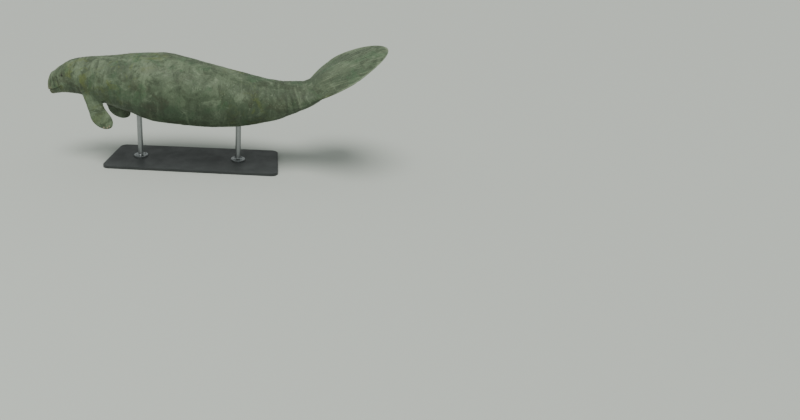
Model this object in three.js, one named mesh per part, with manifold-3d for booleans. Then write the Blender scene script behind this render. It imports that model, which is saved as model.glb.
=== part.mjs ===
// A life-size manatee, gliding with its tail paddle raised, held over a flat base by two short rods.
// Millimetres, +Z up. The animal faces -X, and its left flank is towards -Y.
// The origin is the middle of the underside of the base.
import * as THREE from "three";
import { mergeVertices } from "three/addons/utils/BufferGeometryUtils.js";
import Module from "manifold-3d";

const wasm = await Module();
wasm.setup();

// ---------------------------------------------------------------- sizes
const BODY_LENGTH = 3000; // snout to the tip of the paddle, along the back's midline
const SNOUT_X = -1280; // where the spine line starts
const SNOUT_Z = 660; // and its height above the floor
const GAP = 0.4; // between neighbouring pieces
const AROUND = 36; // facets around the body

// How the spine line climbs towards the tail, in degrees, at distances from the snout.
const PITCH = [
  { at: 0, deg: 14 }, // the head hangs a little
  { at: 150, deg: 11 },
  { at: 320, deg: 2 }, // nape
  { at: 500, deg: -4 },
  { at: 900, deg: -6.5 }, // back
  { at: 1400, deg: -7 },
  { at: 1800, deg: -3 }, // loins
  { at: 2050, deg: 4.5 },
  { at: 2220, deg: 21.5 }, // tail stock
  { at: 2360, deg: 38 },
  { at: 2500, deg: 37 },
  { at: 2750, deg: 30.5 }, // paddle
  { at: 3000, deg: 23.5 },
];

// The snout's rings stand more upright than its spine line: by this many degrees at the front, fading out behind.
const SNOUT_UPRIGHT = { deg: 12, over: 230 };

// Half width, height above and depth below the spine line at each named section.
const SECTIONS = [
  { name: "snout face", at: 0, half: 102, up: 96, down: 76 },
  { name: "lips", at: 80, half: 114, up: 127, down: 88 },
  { name: "bridge of the snout", at: 120, half: 120, up: 145, down: 94 },
  { name: "eyes", at: 160, half: 128, up: 157, down: 101 },
  { name: "nape", at: 250, half: 152, up: 190, down: 120 },
  { name: "neck", at: 360, half: 190, up: 205, down: 141 },
  { name: "shoulders", at: 500, half: 235, up: 222, down: 183 },
  { name: "chest", at: 750, half: 298, up: 268, down: 234 },
  { name: "belly", at: 1050, half: 345, up: 308, down: 289 },
  { name: "rear belly", at: 1350, half: 350, up: 274, down: 277 },
  { name: "loins", at: 1700, half: 302, up: 227, down: 231 },
  { name: "rump", at: 2000, half: 240, up: 175, down: 155 },
  { name: "tail stock", at: 2220, half: 216, up: 139, down: 84 },
  { name: "paddle root", at: 2310, half: 232, up: 106, down: 91 },
  { name: "paddle flare", at: 2420, half: 320, up: 72, down: 74 },
  { name: "paddle", at: 2520, half: 368, up: 66, down: 53 },
  { name: "wide paddle", at: 2640, half: 391, up: 50, down: 43 },
  { name: "rounded paddle", at: 2800, half: 374, up: 35, down: 31 },
  { name: "paddle end", at: 3000, half: 352, up: 22, down: 22 },
];

const SNOUT_ROUNDING = 56; // length over which the blunt muzzle closes
const PADDLE_ROUNDING = 420; // length over which the paddle's outline closes
const PADDLE_EDGE_CLOSING = 50;
const PADDLE_EDGE = 0.26; // share of the paddle's thickness left at its rim
const PADDLE_RIDGE = 4.4; // how narrow the ridge down its middle is
const PADDLE_CUP = 10; // how far its side edges curl up
const TWIST = [
  { at: 0, deg: 0 },
  { at: 1900, deg: 0 },
  { at: 2100, deg: 3 },
  { at: 2250, deg: 9 }, // the paddle's left edge is the lower one
  { at: 2420, deg: 8 },
  { at: 3000, deg: 8 },
];

// Swellings (+) and hollows (-) of the head: distance from the snout and its reach, angle over the flank's middle and its spread.
const HEAD_FORMS = [
  { name: "lip pads", at: 56, reach: 44, angle: -36, spread: 26, height: 19 },
  { name: "nostril mounds", at: 38, reach: 26, angle: 66, spread: 17, height: 5 },
  { name: "fold behind the lip pads", at: 120, reach: 21, angle: -14, spread: 36, height: -6 },
  { name: "cheeks", at: 198, reach: 48, angle: -32, spread: 27, height: 8 },
];
const MOUTH = { at: 22, back: 140, below: 40, gap: 1 }; // the mouth's line under the lip pads
const EYE = { at: 182, above: 73, radius: 10.5, sunk: 9.5 };
const NOSTRIL = { at: 36, side: 29, above: 84, length: 26, width: 13, depth: 7 };

const FLIPPER = {
  at: { left: 450, right: 478 }, // root, from the snout
  out: 150,
  below: { left: 100, right: 117 },
  length: 300,
  bend: { left: 68, right: 46 }, // how far the tip trails
  axis: { left: [0.21, 0.3, -0.9], right: [0.21, 0.19, -0.96] }, // backwards, outwards, upwards
  chord: [0.95, 0.05, 0.3],
};
const NAIL = { length: 19, width: 16, height: 4.5 };

const BASE = { length: 1500, width: 560, height: 24, corner: 60, bevel: 4 };
const ROD = { radius: 24, flange: 62, flangeHeight: 12, front: -480, rear: 400 };

// ---------------------------------------------------------------- curves
// A smooth curve through named values that never overshoots them.
function through(xs, ys) {
  const n = xs.length;
  const h = [];
  const d = [];
  for (let i = 0; i < n - 1; i++) {
    h.push(xs[i + 1] - xs[i]);
    d.push((ys[i + 1] - ys[i]) / h[i]);
  }
  const m = new Array(n).fill(0);
  for (let i = 1; i < n - 1; i++) {
    if (d[i - 1] * d[i] > 0) {
      const w1 = 2 * h[i] + h[i - 1];
      const w2 = h[i] + 2 * h[i - 1];
      m[i] = (w1 + w2) / (w1 / d[i - 1] + w2 / d[i]);
    }
  }
  m[0] = d[0];
  m[n - 1] = d[n - 2];
  return (x) => {
    const c = Math.min(Math.max(x, xs[0]), xs[n - 1]);
    let i = 0;
    while (i < n - 2 && c >= xs[i + 1]) i++;
    const t = (c - xs[i]) / h[i];
    const t2 = t * t;
    const t3 = t2 * t;
    return (
      (2 * t3 - 3 * t2 + 1) * ys[i] +
      (t3 - 2 * t2 + t) * h[i] * m[i] +
      (-2 * t3 + 3 * t2) * ys[i + 1] +
      (t3 - t2) * h[i] * m[i + 1]
    );
  };
}
const column = (rows, key) => through(rows.map((r) => r.at), rows.map((r) => r[key]));
const clamp01 = (x) => Math.min(Math.max(x, 0), 1);
const smooth = (x) => clamp01(x) ** 2 * (3 - 2 * clamp01(x));
const rad = THREE.MathUtils.degToRad;
const closing = (t, power) => (1 - clamp01(1 - t) ** power) ** (1 / power);

const pitchAt = column(PITCH, "deg");
const halfAt = column(SECTIONS, "half");
const upAt = column(SECTIONS, "up");
const downAt = column(SECTIONS, "down");
const twistAt = (s) => {
  for (let i = 0; i < TWIST.length - 1; i++) {
    const a = TWIST[i];
    const b = TWIST[i + 1];
    if (s <= b.at) return a.deg + ((b.deg - a.deg) * Math.max(s - a.at, 0)) / (b.at - a.at);
  }
  return TWIST[TWIST.length - 1].deg;
};

// The spine line, by adding up small steps at the local pitch.
const STEPS = 1200;
const spineX = [SNOUT_X];
const spineZ = [SNOUT_Z];
for (let i = 1; i <= STEPS; i++) {
  const s = ((i - 0.5) * BODY_LENGTH) / STEPS;
  const p = rad(pitchAt(s));
  spineX.push(spineX[i - 1] + (Math.cos(p) * BODY_LENGTH) / STEPS);
  spineZ.push(spineZ[i - 1] + (Math.sin(p) * BODY_LENGTH) / STEPS);
}
function spine(s) {
  const f = clamp01(s / BODY_LENGTH) * STEPS;
  const i = Math.min(Math.floor(f), STEPS - 1);
  const t = f - i;
  return {
    x: spineX[i] + (spineX[i + 1] - spineX[i]) * t,
    z: spineZ[i] + (spineZ[i + 1] - spineZ[i]) * t,
    pitch: rad(pitchAt(s) - SNOUT_UPRIGHT.deg * (1 - smooth(s / SNOUT_UPRIGHT.over))),
  };
}
// A point given by its distance along the spine line, its side (y) and its height over the line.
function fromSpine(s, y, v) {
  const p = spine(s);
  return new THREE.Vector3(p.x - Math.sin(p.pitch) * v, y, p.z + Math.cos(p.pitch) * v);
}

// ---------------------------------------------------------------- body
// A section's outline at angle phi: 0 is the right flank (+Y), a quarter turn is the back.
function outline(s, phi, grow = 0) {
  const snout = closing(s / SNOUT_ROUNDING, 2.3);
  const closed = closing((BODY_LENGTH - s) / PADDLE_ROUNDING, 1.95);
  const half = halfAt(s) * snout * closed + grow;
  const thick = snout * closing((BODY_LENGTH - s) / PADDLE_EDGE_CLOSING, 2);
  const c = Math.cos(phi);
  const n = Math.sin(phi);
  const flat = smooth((s - 2150) / 300);
  const power = 2 / 2.15;
  let y = half * Math.sign(c) * Math.abs(c) ** power;
  const rise = (1 - flat) * Math.abs(n) ** power + flat * (PADDLE_EDGE * Math.abs(n) + (1 - PADDLE_EDGE) * Math.abs(n) ** PADDLE_RIDGE);
  let v = (n > 0 ? upAt(s) * thick + grow : -(downAt(s) * thick + grow)) * rise;
  v += PADDLE_CUP * flat * (1 - closed ** 2 * (1 - (y / half) ** 2)); // a dish whose rim stays level at the tip
  const angle = THREE.MathUtils.radToDeg(Math.asin(n));
  for (const f of HEAD_FORMS) {
    const swell = f.height * snout * Math.exp(-(((s - f.at) / f.reach) ** 2) - ((angle - f.angle) / f.spread) ** 2);
    y += swell * c;
    v += swell * n;
  }
  const r = rad(twistAt(s));
  return [y * Math.cos(r) - v * Math.sin(r), y * Math.sin(r) + v * Math.cos(r)];
}
const bodyPoint = (s, phi, grow) => fromSpine(s, ...outline(s, phi, grow));

// ---------------------------------------------------------------- making solids
// Rings of points, each closed on itself, joined into one closed surface with a fan at each end.
function loft(rings) {
  const n = rings[0].length;
  const positions = [];
  const index = [];
  for (const ring of rings) for (const p of ring) positions.push(p.x, p.y, p.z);
  for (let i = 0; i < rings.length - 1; i++) {
    for (let j = 0; j < n; j++) {
      const k = (j + 1) % n;
      const a = i * n + j;
      const b = i * n + k;
      index.push(a, b, a + n, b, b + n, a + n);
    }
  }
  for (const [ring, first, turn] of [[rings[0], 0, 1], [rings[rings.length - 1], (rings.length - 1) * n, -1]]) {
    const mid = ring.reduce((sum, p) => sum.add(p), new THREE.Vector3()).divideScalar(n);
    const m = positions.length / 3;
    positions.push(mid.x, mid.y, mid.z);
    for (let j = 0; j < n; j++) {
      const k = (j + 1) % n;
      if (turn > 0) index.push(m, first + k, first + j);
      else index.push(m, first + j, first + k);
    }
  }
  const g = new THREE.BufferGeometry();
  g.setAttribute("position", new THREE.Float32BufferAttribute(positions, 3));
  g.setIndex(index);
  return g;
}
function toSolid(geometry) {
  const bare = geometry.clone();
  for (const name of Object.keys(bare.attributes)) if (name !== "position") bare.deleteAttribute(name);
  const merged = mergeVertices(bare, 1e-3);
  const tri = new Uint32Array(merged.index.array);
  const make = () => new wasm.Manifold(new wasm.Mesh({ numProp: 3, vertProperties: merged.attributes.position.array, triVerts: tri }));
  const solid = make();
  if (solid.volume() > 0) return solid;
  for (let i = 0; i < tri.length; i += 3) [tri[i + 1], tri[i + 2]] = [tri[i + 2], tri[i + 1]];
  return make();
}
function toGeometry(solid) {
  const parts = solid.decompose().sort((a, b) => b.volume() - a.volume());
  const m = parts[0].getMesh();
  const positions = new Float32Array(m.numVert * 3);
  for (let i = 0; i < m.numVert; i++) positions.set(m.vertProperties.subarray(i * m.numProp, i * m.numProp + 3), i * 3);
  const g = new THREE.BufferGeometry();
  g.setAttribute("position", new THREE.BufferAttribute(positions, 3));
  g.setIndex(new THREE.BufferAttribute(new Uint32Array(m.triVerts), 1));
  g.computeVertexNormals();
  return g;
}

// Distances from the snout at which the body has a ring: close together on the head and where the outline turns fast.
function ringStations() {
  const stations = [];
  for (let i = 1; i <= 7; i++) stations.push(SNOUT_ROUNDING * (1 - Math.cos((i * Math.PI) / 14)));
  for (let s = 98; s < 330; s += 26) stations.push(s);
  for (let s = 350; s < 2100; s += 74) stations.push(s);
  for (let s = 2110; s < 2790; s += 56) stations.push(s);
  for (let i = 6; i >= 0; i--) stations.push(BODY_LENGTH - 0.35 - 190 * (i / 6) ** 1.7);
  return stations;
}
const RINGS = ringStations();
const ringAt = (s, grow) => Array.from({ length: AROUND }, (_, j) => bodyPoint(s, (j * 2 * Math.PI) / AROUND, grow));
function bodyLength(from, to, grow = 0) {
  const stations = [from, ...RINGS.filter((s) => s > from + 4 && s < to - 4), to];
  return loft(stations.map((s) => ringAt(s, grow)));
}
const NOSE = 0.6;
const WHOLE_GROWN = toSolid(bodyLength(NOSE, BODY_LENGTH - 0.35, GAP));

// ---------------------------------------------------------------- head
// A turned frame on the spine line, for what is cut out of the head.
function onHead(geometry, s, y, v) {
  const p = spine(s);
  geometry.rotateY(-p.pitch);
  const at = fromSpine(s, y, v);
  geometry.translate(at.x, at.y, at.z);
  return geometry;
}
const jawRoom = (gap) => {
  const long = MOUTH.back - MOUTH.at + gap + 60;
  const box = new THREE.BoxGeometry(long, 400, 200);
  return toSolid(onHead(box, MOUTH.at - gap + long / 2, 0, -MOUTH.below - 100 + gap));
};
function eyeCentre(side) {
  let phi = 0;
  while (outline(EYE.at, phi)[1] < EYE.above) phi += 0.002;
  const [y, v] = outline(EYE.at, phi);
  const ahead = bodyPoint(EYE.at - 4, phi);
  const behind = bodyPoint(EYE.at + 4, phi);
  const above = bodyPoint(EYE.at, phi + 0.03);
  const below = bodyPoint(EYE.at, phi - 0.03);
  const normal = new THREE.Vector3().crossVectors(behind.sub(ahead), above.sub(below)).normalize();
  if (normal.y < 0) normal.negate();
  const c = fromSpine(EYE.at, y, v).addScaledVector(normal, -EYE.sunk);
  if (side < 0) c.y = -c.y;
  return c;
}
const eyeBall = (side, radius) => {
  const g = new THREE.SphereGeometry(radius, 14, 10);
  const c = eyeCentre(side);
  return g.translate(c.x, c.y, c.z);
};

// A shallow oval hollow on top of the snout.
function nostril(side) {
  let phi = Math.PI / 2;
  while (outline(NOSTRIL.at, phi)[0] < NOSTRIL.side) phi -= 0.002;
  const [y, v] = outline(NOSTRIL.at, phi);
  const g = new THREE.SphereGeometry(1, 12, 8).scale(NOSTRIL.length / 2, NOSTRIL.width / 2, NOSTRIL.depth);
  g.rotateX(0.35).rotateY(-0.75).rotateZ(-0.35);
  onHead(g, NOSTRIL.at, y, v);
  if (side < 0) g.scale(1, -1, 1);
  return toSolid(g);
}

// ---------------------------------------------------------------- flippers
const flipperHalf = through([0, 0.2, 0.45, 0.7, 0.85, 1], [85, 74, 80, 91, 87, 76]);
const flipperThick = through([0, 0.3, 0.7, 1], [45, 30, 18, 12]);
const flipperSweep = through([0, 0.5, 1], [0, 12, 34]);
function flipperFrame(side) {
  const word = side < 0 ? "left" : "right";
  const [back, out, up] = FLIPPER.axis[word];
  const axis = new THREE.Vector3(back, side * out, up).normalize();
  const chord = new THREE.Vector3(FLIPPER.chord[0], side * FLIPPER.chord[1], FLIPPER.chord[2]);
  chord.addScaledVector(axis, -chord.dot(axis)).normalize();
  const outward = new THREE.Vector3().crossVectors(axis, chord).normalize();
  if (outward.y * side < 0) outward.negate();
  return { axis, chord, outward, bend: FLIPPER.bend[word], root: fromSpine(FLIPPER.at[word], side * FLIPPER.out, -FLIPPER.below[word]) };
}
// t runs from the root to the tip; phi 0 is the trailing edge, half a turn the leading edge.
function flipperPoint(side, t, phi, grow = 0) {
  const f = flipperFrame(side);
  const tip = closing((1 - t) / 0.3, 2.3);
  const half = flipperHalf(t) * tip + grow;
  const thick = flipperThick(t) * closing((1 - t) / 0.06, 2) + grow;
  const c = Math.cos(phi);
  return f.root
    .clone()
    .addScaledVector(f.axis, t * FLIPPER.length + (t > 0.9 ? grow : 0))
    .add(new THREE.Vector3(f.bend * t * Math.abs(t), 0, 0))
    .addScaledVector(f.chord, half * c + flipperSweep(t))
    .addScaledVector(f.outward, thick * Math.sin(phi) * (1 - 0.3 * c));
}
function flipperSolid(side, grow = 0) {
  const stations = [-0.12, 0.06, 0.2, 0.33, 0.46, 0.58, 0.68, 0.77, 0.84, 0.9, 0.94, 0.97, 0.987, 0.998];
  return toSolid(loft(stations.map((t) => Array.from({ length: 20 }, (_, j) => flipperPoint(side, t, (j * Math.PI) / 10, grow)))));
}
// A nail sits on the outer face at the rim of the tip.
function nailSolid(side, t, across) {
  const f = flipperFrame(side);
  const phi = Math.acos(across);
  const at = flipperPoint(side, t, phi);
  const inner = flipperPoint(side, t - 0.12, Math.acos(across * 0.86));
  const along = at.clone().sub(inner);
  along.addScaledVector(f.outward, -along.dot(f.outward)).normalize();
  const width = new THREE.Vector3().crossVectors(f.outward, along).normalize();
  const g = new THREE.SphereGeometry(1, 10, 6);
  const m = new THREE.Matrix4().makeBasis(
    along.clone().multiplyScalar(NAIL.length / 2),
    width.clone().multiplyScalar(NAIL.width / 2),
    new THREE.Vector3().crossVectors(along, width).multiplyScalar(NAIL.height),
  );
  m.setPosition(at.clone().addScaledVector(along, -NAIL.length * 0.22));
  return toSolid(g.applyMatrix4(m));
}

// ---------------------------------------------------------------- materials
const paint = (colour, roughness, metalness = 0) => new THREE.MeshStandardMaterial({ color: colour, roughness, metalness });
const hide = paint("#6f7661", 0.7);
const hideDark = paint("#5f6654", 0.72);
const eyeBlack = paint("#15110d", 0.12);
const horn = paint("#a89c80", 0.45);
const standBase = paint("#2b2c2c", 0.5);
const standRod = paint("#8c8f91", 0.35, 0.9);

// ---------------------------------------------------------------- assembly
const manatee = new THREE.Group();
function add(name, geometry, material, group = manatee) {
  const mesh = new THREE.Mesh(geometry, material);
  mesh.name = name;
  group.add(mesh);
  return mesh;
}

// muzzle with the two nostrils, and the lower jaw
const front = toSolid(bodyLength(NOSE, MOUTH.back - GAP / 2));
let upper = front.subtract(jawRoom(MOUTH.gap));
for (const side of [-1, 1]) upper = upper.subtract(nostril(side));
add("muzzle", toGeometry(upper), hide);
add("lower_jaw", toGeometry(front.intersect(jawRoom(0))), hideDark);

// the head carries the eye sockets
let skull = toSolid(bodyLength(MOUTH.back + GAP / 2, 275 - GAP / 2));
for (const side of [-1, 1]) skull = skull.subtract(toSolid(eyeBall(side, EYE.radius + GAP)));
add("head", toGeometry(skull), hide);
for (const [side, word] of [[-1, "left"], [1, "right"]]) add("eye_" + word, toGeometry(toSolid(eyeBall(side, EYE.radius))), eyeBlack);

// neck, trunk and tail, parted by thin cuts across the spine line
const LENGTHS = [
  ["neck", 275, 430],
  ["chest", 430, 860],
  ["belly", 860, 1480],
  ["loins", 1480, 1960],
  ["tail_stock", 1960, 2290],
  ["tail_paddle", 2290, BODY_LENGTH - 0.35 + GAP / 2],
];
for (const [name, from, to] of LENGTHS) add(name, toGeometry(toSolid(bodyLength(from + GAP / 2, to - GAP / 2))), hide);

// flippers with three nails each, shaped to the chest where they leave it
for (const [side, word] of [[-1, "left"], [1, "right"]]) {
  const group = new THREE.Group();
  manatee.add(group);
  add("flipper_" + word, toGeometry(flipperSolid(side).subtract(WHOLE_GROWN)), hideDark, group);
  const grown = flipperSolid(side, 0.35);
  [[0.955, -0.5], [0.978, 0.02], [0.955, 0.52]].forEach(([t, across], i) => {
    add("nail_" + word + "_" + (i + 1), toGeometry(nailSolid(side, t, across).subtract(grown)), horn, group);
  });
}

// the stand: a flat base with rounded corners, and two flanged rods up to the belly
const plate = new THREE.Shape();
const [hx, hy, r] = [BASE.length / 2 - BASE.bevel, BASE.width / 2 - BASE.bevel, BASE.corner - BASE.bevel];
for (const [i, [cx, cy]] of [[hx - r, hy - r], [-hx + r, hy - r], [-hx + r, -hy + r], [hx - r, -hy + r]].entries()) {
  plate.absarc(cx, cy, r, (i * Math.PI) / 2, ((i + 1) * Math.PI) / 2, false);
}
plate.closePath();
const plateGeometry = new THREE.ExtrudeGeometry(plate, {
  depth: BASE.height - BASE.bevel,
  bevelEnabled: true,
  bevelThickness: BASE.bevel,
  bevelSize: BASE.bevel,
  bevelSegments: 2,
  curveSegments: 6,
});
// the bevel below the plate is cut off, so that it stands on a flat face
const lowPart = new THREE.BoxGeometry(BASE.length * 2, BASE.width * 2, 100).translate(0, 0, -50);
add("stand_base", toGeometry(toSolid(plateGeometry).subtract(toSolid(lowPart))), standBase);

for (const [x, word] of [[ROD.front, "front"], [ROD.rear, "rear"]]) {
  const z0 = BASE.height + GAP;
  const top = 700;
  const profile = [
    [0, 0],
    [ROD.flange, 0],
    [ROD.flange, ROD.flangeHeight - 3],
    [ROD.flange - 3, ROD.flangeHeight],
    [ROD.radius + 8, ROD.flangeHeight],
    [ROD.radius, ROD.flangeHeight + 8],
    [ROD.radius, top],
    [0, top],
  ].map(([a, b]) => new THREE.Vector2(a, b));
  const lathe = new THREE.LatheGeometry(profile, 24).rotateX(Math.PI / 2).translate(x, 0, z0);
  const cut = toSolid(lathe).subtract(WHOLE_GROWN).decompose().sort((a, b) => a.boundingBox().min[2] - b.boundingBox().min[2])[0];
  add("stand_rod_" + word, toGeometry(cut), standRod);
}

export default manatee;
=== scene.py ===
import math

import bpy
import numpy as np
from mathutils import Matrix, Vector, kdtree


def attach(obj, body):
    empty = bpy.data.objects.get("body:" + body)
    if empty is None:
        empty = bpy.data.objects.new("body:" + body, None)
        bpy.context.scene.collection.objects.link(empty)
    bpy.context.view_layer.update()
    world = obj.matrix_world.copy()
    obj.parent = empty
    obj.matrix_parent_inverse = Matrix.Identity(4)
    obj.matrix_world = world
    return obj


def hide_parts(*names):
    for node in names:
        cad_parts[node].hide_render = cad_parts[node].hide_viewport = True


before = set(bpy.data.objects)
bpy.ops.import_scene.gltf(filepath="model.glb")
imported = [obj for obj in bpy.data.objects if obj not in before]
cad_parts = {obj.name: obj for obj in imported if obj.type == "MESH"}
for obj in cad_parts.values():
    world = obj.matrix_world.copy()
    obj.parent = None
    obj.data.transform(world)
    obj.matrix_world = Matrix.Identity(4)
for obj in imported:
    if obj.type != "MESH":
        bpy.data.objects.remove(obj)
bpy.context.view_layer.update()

# ------------------------------------------------------------------ sizes, in metres, as in the solids
LENGTH = 3.0
SNOUT_X, SNOUT_Z = -1.28, 0.66
PITCH = [(0, 14), (.15, 11), (.32, 2), (.5, -4), (.9, -6.5), (1.4, -7), (1.8, -3), (2.05, 4.5), (2.22, 21.5), (2.36, 38), (2.5, 37), (2.75, 30.5), (3.0, 23.5)]
UPRIGHT_DEG, UPRIGHT_OVER = 12, .23
SECTIONS = [  # distance from the snout, half width, height above and depth below the spine line
    (0.00, .102, .096, .076),  # snout face
    (0.08, .114, .127, .088),  # lips
    (0.12, .120, .145, .094),  # bridge of the snout
    (0.16, .128, .157, .101),  # eyes
    (0.25, .152, .190, .120),  # nape
    (0.36, .190, .205, .141),  # neck
    (0.50, .235, .222, .183),  # shoulders
    (0.75, .298, .268, .234),  # chest
    (1.05, .345, .308, .289),  # belly
    (1.35, .350, .274, .277),  # rear belly
    (1.70, .302, .227, .231),  # loins
    (2.00, .240, .175, .155),  # rump
    (2.22, .216, .139, .084),  # tail stock
    (2.31, .232, .106, .091),  # paddle root
    (2.42, .320, .072, .074),  # paddle flare
    (2.52, .368, .066, .053),  # paddle
    (2.64, .391, .050, .043),  # wide paddle
    (2.80, .374, .035, .031),  # rounded paddle
    (3.00, .352, .022, .022),  # paddle end
]
SNOUT_ROUNDING, PADDLE_ROUNDING, PADDLE_EDGE_CLOSING = .056, .42, .05
PADDLE_EDGE, PADDLE_RIDGE, PADDLE_CUP = .26, 4.4, .010
TWIST = [(0, 0), (1.9, 0), (2.1, 3), (2.25, 9), (2.42, 8), (3.0, 8)]
HEAD_FORMS = [  # at, reach, angle, spread, height
    (.056, .044, -36, 26, .019),  # lip pads
    (.038, .026, 66, 17, .005),  # nostril mounds
    (.120, .021, -14, 36, -.006),  # fold behind the lip pads
    (.198, .048, -32, 27, .008),  # cheeks
]
MOUTH_BACK, MOUTH_BELOW = .140, .040
EYE_AT, EYE_ABOVE, EYE_R, EYE_SUNK = .182, .073, .0105, .0095
NOSTRIL_AT, NOSTRIL_SIDE = .036, .029
FLIPPER_AT, FLIPPER_OUT, FLIPPER_BELOW, FLIPPER_LENGTH = {-1: .450, 1: .478}, .150, {-1: .100, 1: .117}, .300
SHOULDER_AT = .460
FLIPPER_BEND = {-1: .068, 1: .046}
FLIPPER_AXIS = {-1: (.21, .30, -.90), 1: (.21, .19, -.96)}
FLIPPER_CHORD = (.95, .05, .30)
NAIL_L, NAIL_W, NAIL_H = .019, .016, .0045
ROD_R, FLANGE_R, FLANGE_H, ROD_X, BASE_H = .024, .062, .012, (-.48, .40), .024

INSET = .0016  # the skin lies this far inside the smooth outline, so under the flat facets of the solids
SIDES = ((-1, "left"), (1, "right"))


# ------------------------------------------------------------------ curves
def through(rows, column):
    xs = np.array([r[0] for r in rows], float)
    ys = np.array([r[column] for r in rows], float)
    h = np.diff(xs)
    d = np.diff(ys) / h
    m = np.zeros(len(xs))
    for i in range(1, len(xs) - 1):
        if d[i - 1] * d[i] > 0:
            w1, w2 = 2 * h[i] + h[i - 1], h[i] + 2 * h[i - 1]
            m[i] = (w1 + w2) / (w1 / d[i - 1] + w2 / d[i])
    m[0], m[-1] = d[0], d[-1]

    def f(x):
        x = np.clip(np.asarray(x, float), xs[0], xs[-1])
        i = np.clip(np.searchsorted(xs, x, side="right") - 1, 0, len(xs) - 2)
        t = (x - xs[i]) / h[i]
        t2, t3 = t * t, t * t * t
        return (2 * t3 - 3 * t2 + 1) * ys[i] + (t3 - 2 * t2 + t) * h[i] * m[i] + (3 * t2 - 2 * t3) * ys[i + 1] + (t3 - t2) * h[i] * m[i + 1]

    return f


def smooth(x):
    x = np.clip(x, 0, 1)
    return x * x * (3 - 2 * x)


def closing(t, power):
    return (1 - np.clip(1 - t, 0, 1) ** power) ** (1 / power)


def bump(x, width):
    return np.exp(-((x / width) ** 2))


pitch_at = through(PITCH, 1)
half_at, up_at, down_at = (through(SECTIONS, k) for k in (1, 2, 3))
STEPS = 1200
_mid = (np.arange(STEPS) + .5) * LENGTH / STEPS
_p = np.radians(pitch_at(_mid))
_spine_s = np.linspace(0, LENGTH, STEPS + 1)
_spine_x = SNOUT_X + np.concatenate([[0], np.cumsum(np.cos(_p))]) * LENGTH / STEPS
_spine_z = SNOUT_Z + np.concatenate([[0], np.cumsum(np.sin(_p))]) * LENGTH / STEPS


def spine(s):
    tilt = np.radians(pitch_at(s) - UPRIGHT_DEG * (1 - smooth(np.asarray(s) / UPRIGHT_OVER)))
    return np.interp(s, _spine_s, _spine_x), np.interp(s, _spine_s, _spine_z), tilt


def from_spine(s, y, v):
    x, z, tilt = spine(s)
    return np.stack([x - np.sin(tilt) * v, np.broadcast_to(y, np.shape(x * v)), z + np.cos(tilt) * v], -1)


def outline(s, phi, grow=-INSET):
    """The section at s: side y and height v at angle phi, before and after the paddle's twist."""
    s, phi = np.broadcast_arrays(np.asarray(s, float), np.asarray(phi, float))
    snout = closing(s / SNOUT_ROUNDING, 2.3)
    closed = closing((LENGTH - s) / PADDLE_ROUNDING, 1.95)
    half = half_at(s) * snout * closed + grow
    half = np.maximum(half, 1e-5)
    thick = snout * closing((LENGTH - s) / PADDLE_EDGE_CLOSING, 2)
    c, n = np.cos(phi), np.sin(phi)
    flat = smooth((s - 2.15) / .3)
    power = 2 / 2.15
    y = half * np.sign(c) * np.abs(c) ** power
    rise = (1 - flat) * np.abs(n) ** power + flat * (PADDLE_EDGE * np.abs(n) + (1 - PADDLE_EDGE) * np.abs(n) ** PADDLE_RIDGE)
    v = np.where(n > 0, np.maximum(up_at(s) * thick + grow, 1e-5), -np.maximum(down_at(s) * thick + grow, 1e-5)) * rise
    v = v + PADDLE_CUP * flat * (1 - closed ** 2 * (1 - (y / half) ** 2))  # a dish whose rim stays level at the tip
    angle = np.degrees(np.arcsin(np.clip(n, -1, 1)))
    for at, reach, mid, spread, height in HEAD_FORMS:
        swell = height * snout * np.exp(-(((s - at) / reach) ** 2) - ((angle - mid) / spread) ** 2)
        y = y + swell * c
        v = v + swell * n
    r = np.radians(np.interp(s, [k[0] for k in TWIST], [k[1] for k in TWIST]))
    return y * np.cos(r) - v * np.sin(r), y * np.sin(r) + v * np.cos(r)


def body(s, phi, grow=-INSET):
    y, v = outline(s, phi, grow)
    x, z, tilt = spine(s)
    return np.stack([x - np.sin(tilt) * v, y, z + np.cos(tilt) * v], -1)


def unit(a):
    a = np.asarray(a, float)
    return a / np.maximum(np.linalg.norm(a, axis=-1, keepdims=True), 1e-12)


def body_normal(s, phi):
    ds, dp = .0015, .004
    a = body(s + ds, phi) - body(np.maximum(s - ds, 1e-5), phi)
    b = body(s, phi + dp) - body(s, phi - dp)
    n = unit(np.cross(a, b))
    y, v = outline(s, phi)
    x, z, tilt = spine(s)
    out = np.stack([-np.sin(tilt) * v, y, np.cos(tilt) * v], -1)
    return n * np.sign(np.sum(n * out, -1, keepdims=True))


# ------------------------------------------------------------------ seeded noise
def _hash(ix, iy, iz, seed):
    with np.errstate(over="ignore"):
        h = (ix.astype(np.uint32) * np.uint32(374761393)) ^ (iy.astype(np.uint32) * np.uint32(668265263)) ^ (iz.astype(np.uint32) * np.uint32(2246822519))
        h = h ^ np.uint32((seed * 3266489917 + 101) & 0xFFFFFFFF)
        h = (h ^ (h >> np.uint32(15))) * np.uint32(2246822519)
        h = (h ^ (h >> np.uint32(13))) * np.uint32(3266489917)
        h = h ^ (h >> np.uint32(16))
    return h.astype(np.float64) / 2147483647.5 - 1


def noise(p, seed, octaves=1):
    """Smooth value noise in about -1..1 at points (N, 3) whose unit is one lump."""
    total, size = 0, 1.0
    norm = 0
    for o in range(octaves):
        q = p * 2 ** o + 37.2 * o
        i = np.floor(q).astype(np.int64)
        f = q - i
        u = f * f * f * (f * (f * 6 - 15) + 10)
        r = 0
        for dx in (0, 1):
            wx = u[:, 0] if dx else 1 - u[:, 0]
            for dy in (0, 1):
                wy = u[:, 1] if dy else 1 - u[:, 1]
                for dz in (0, 1):
                    wz = u[:, 2] if dz else 1 - u[:, 2]
                    r = r + wx * wy * wz * _hash(i[:, 0] + dx, i[:, 1] + dy, i[:, 2] + dz, seed + o)
        total = total + r * size
        norm += size
        size *= .5
    return total / norm


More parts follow.
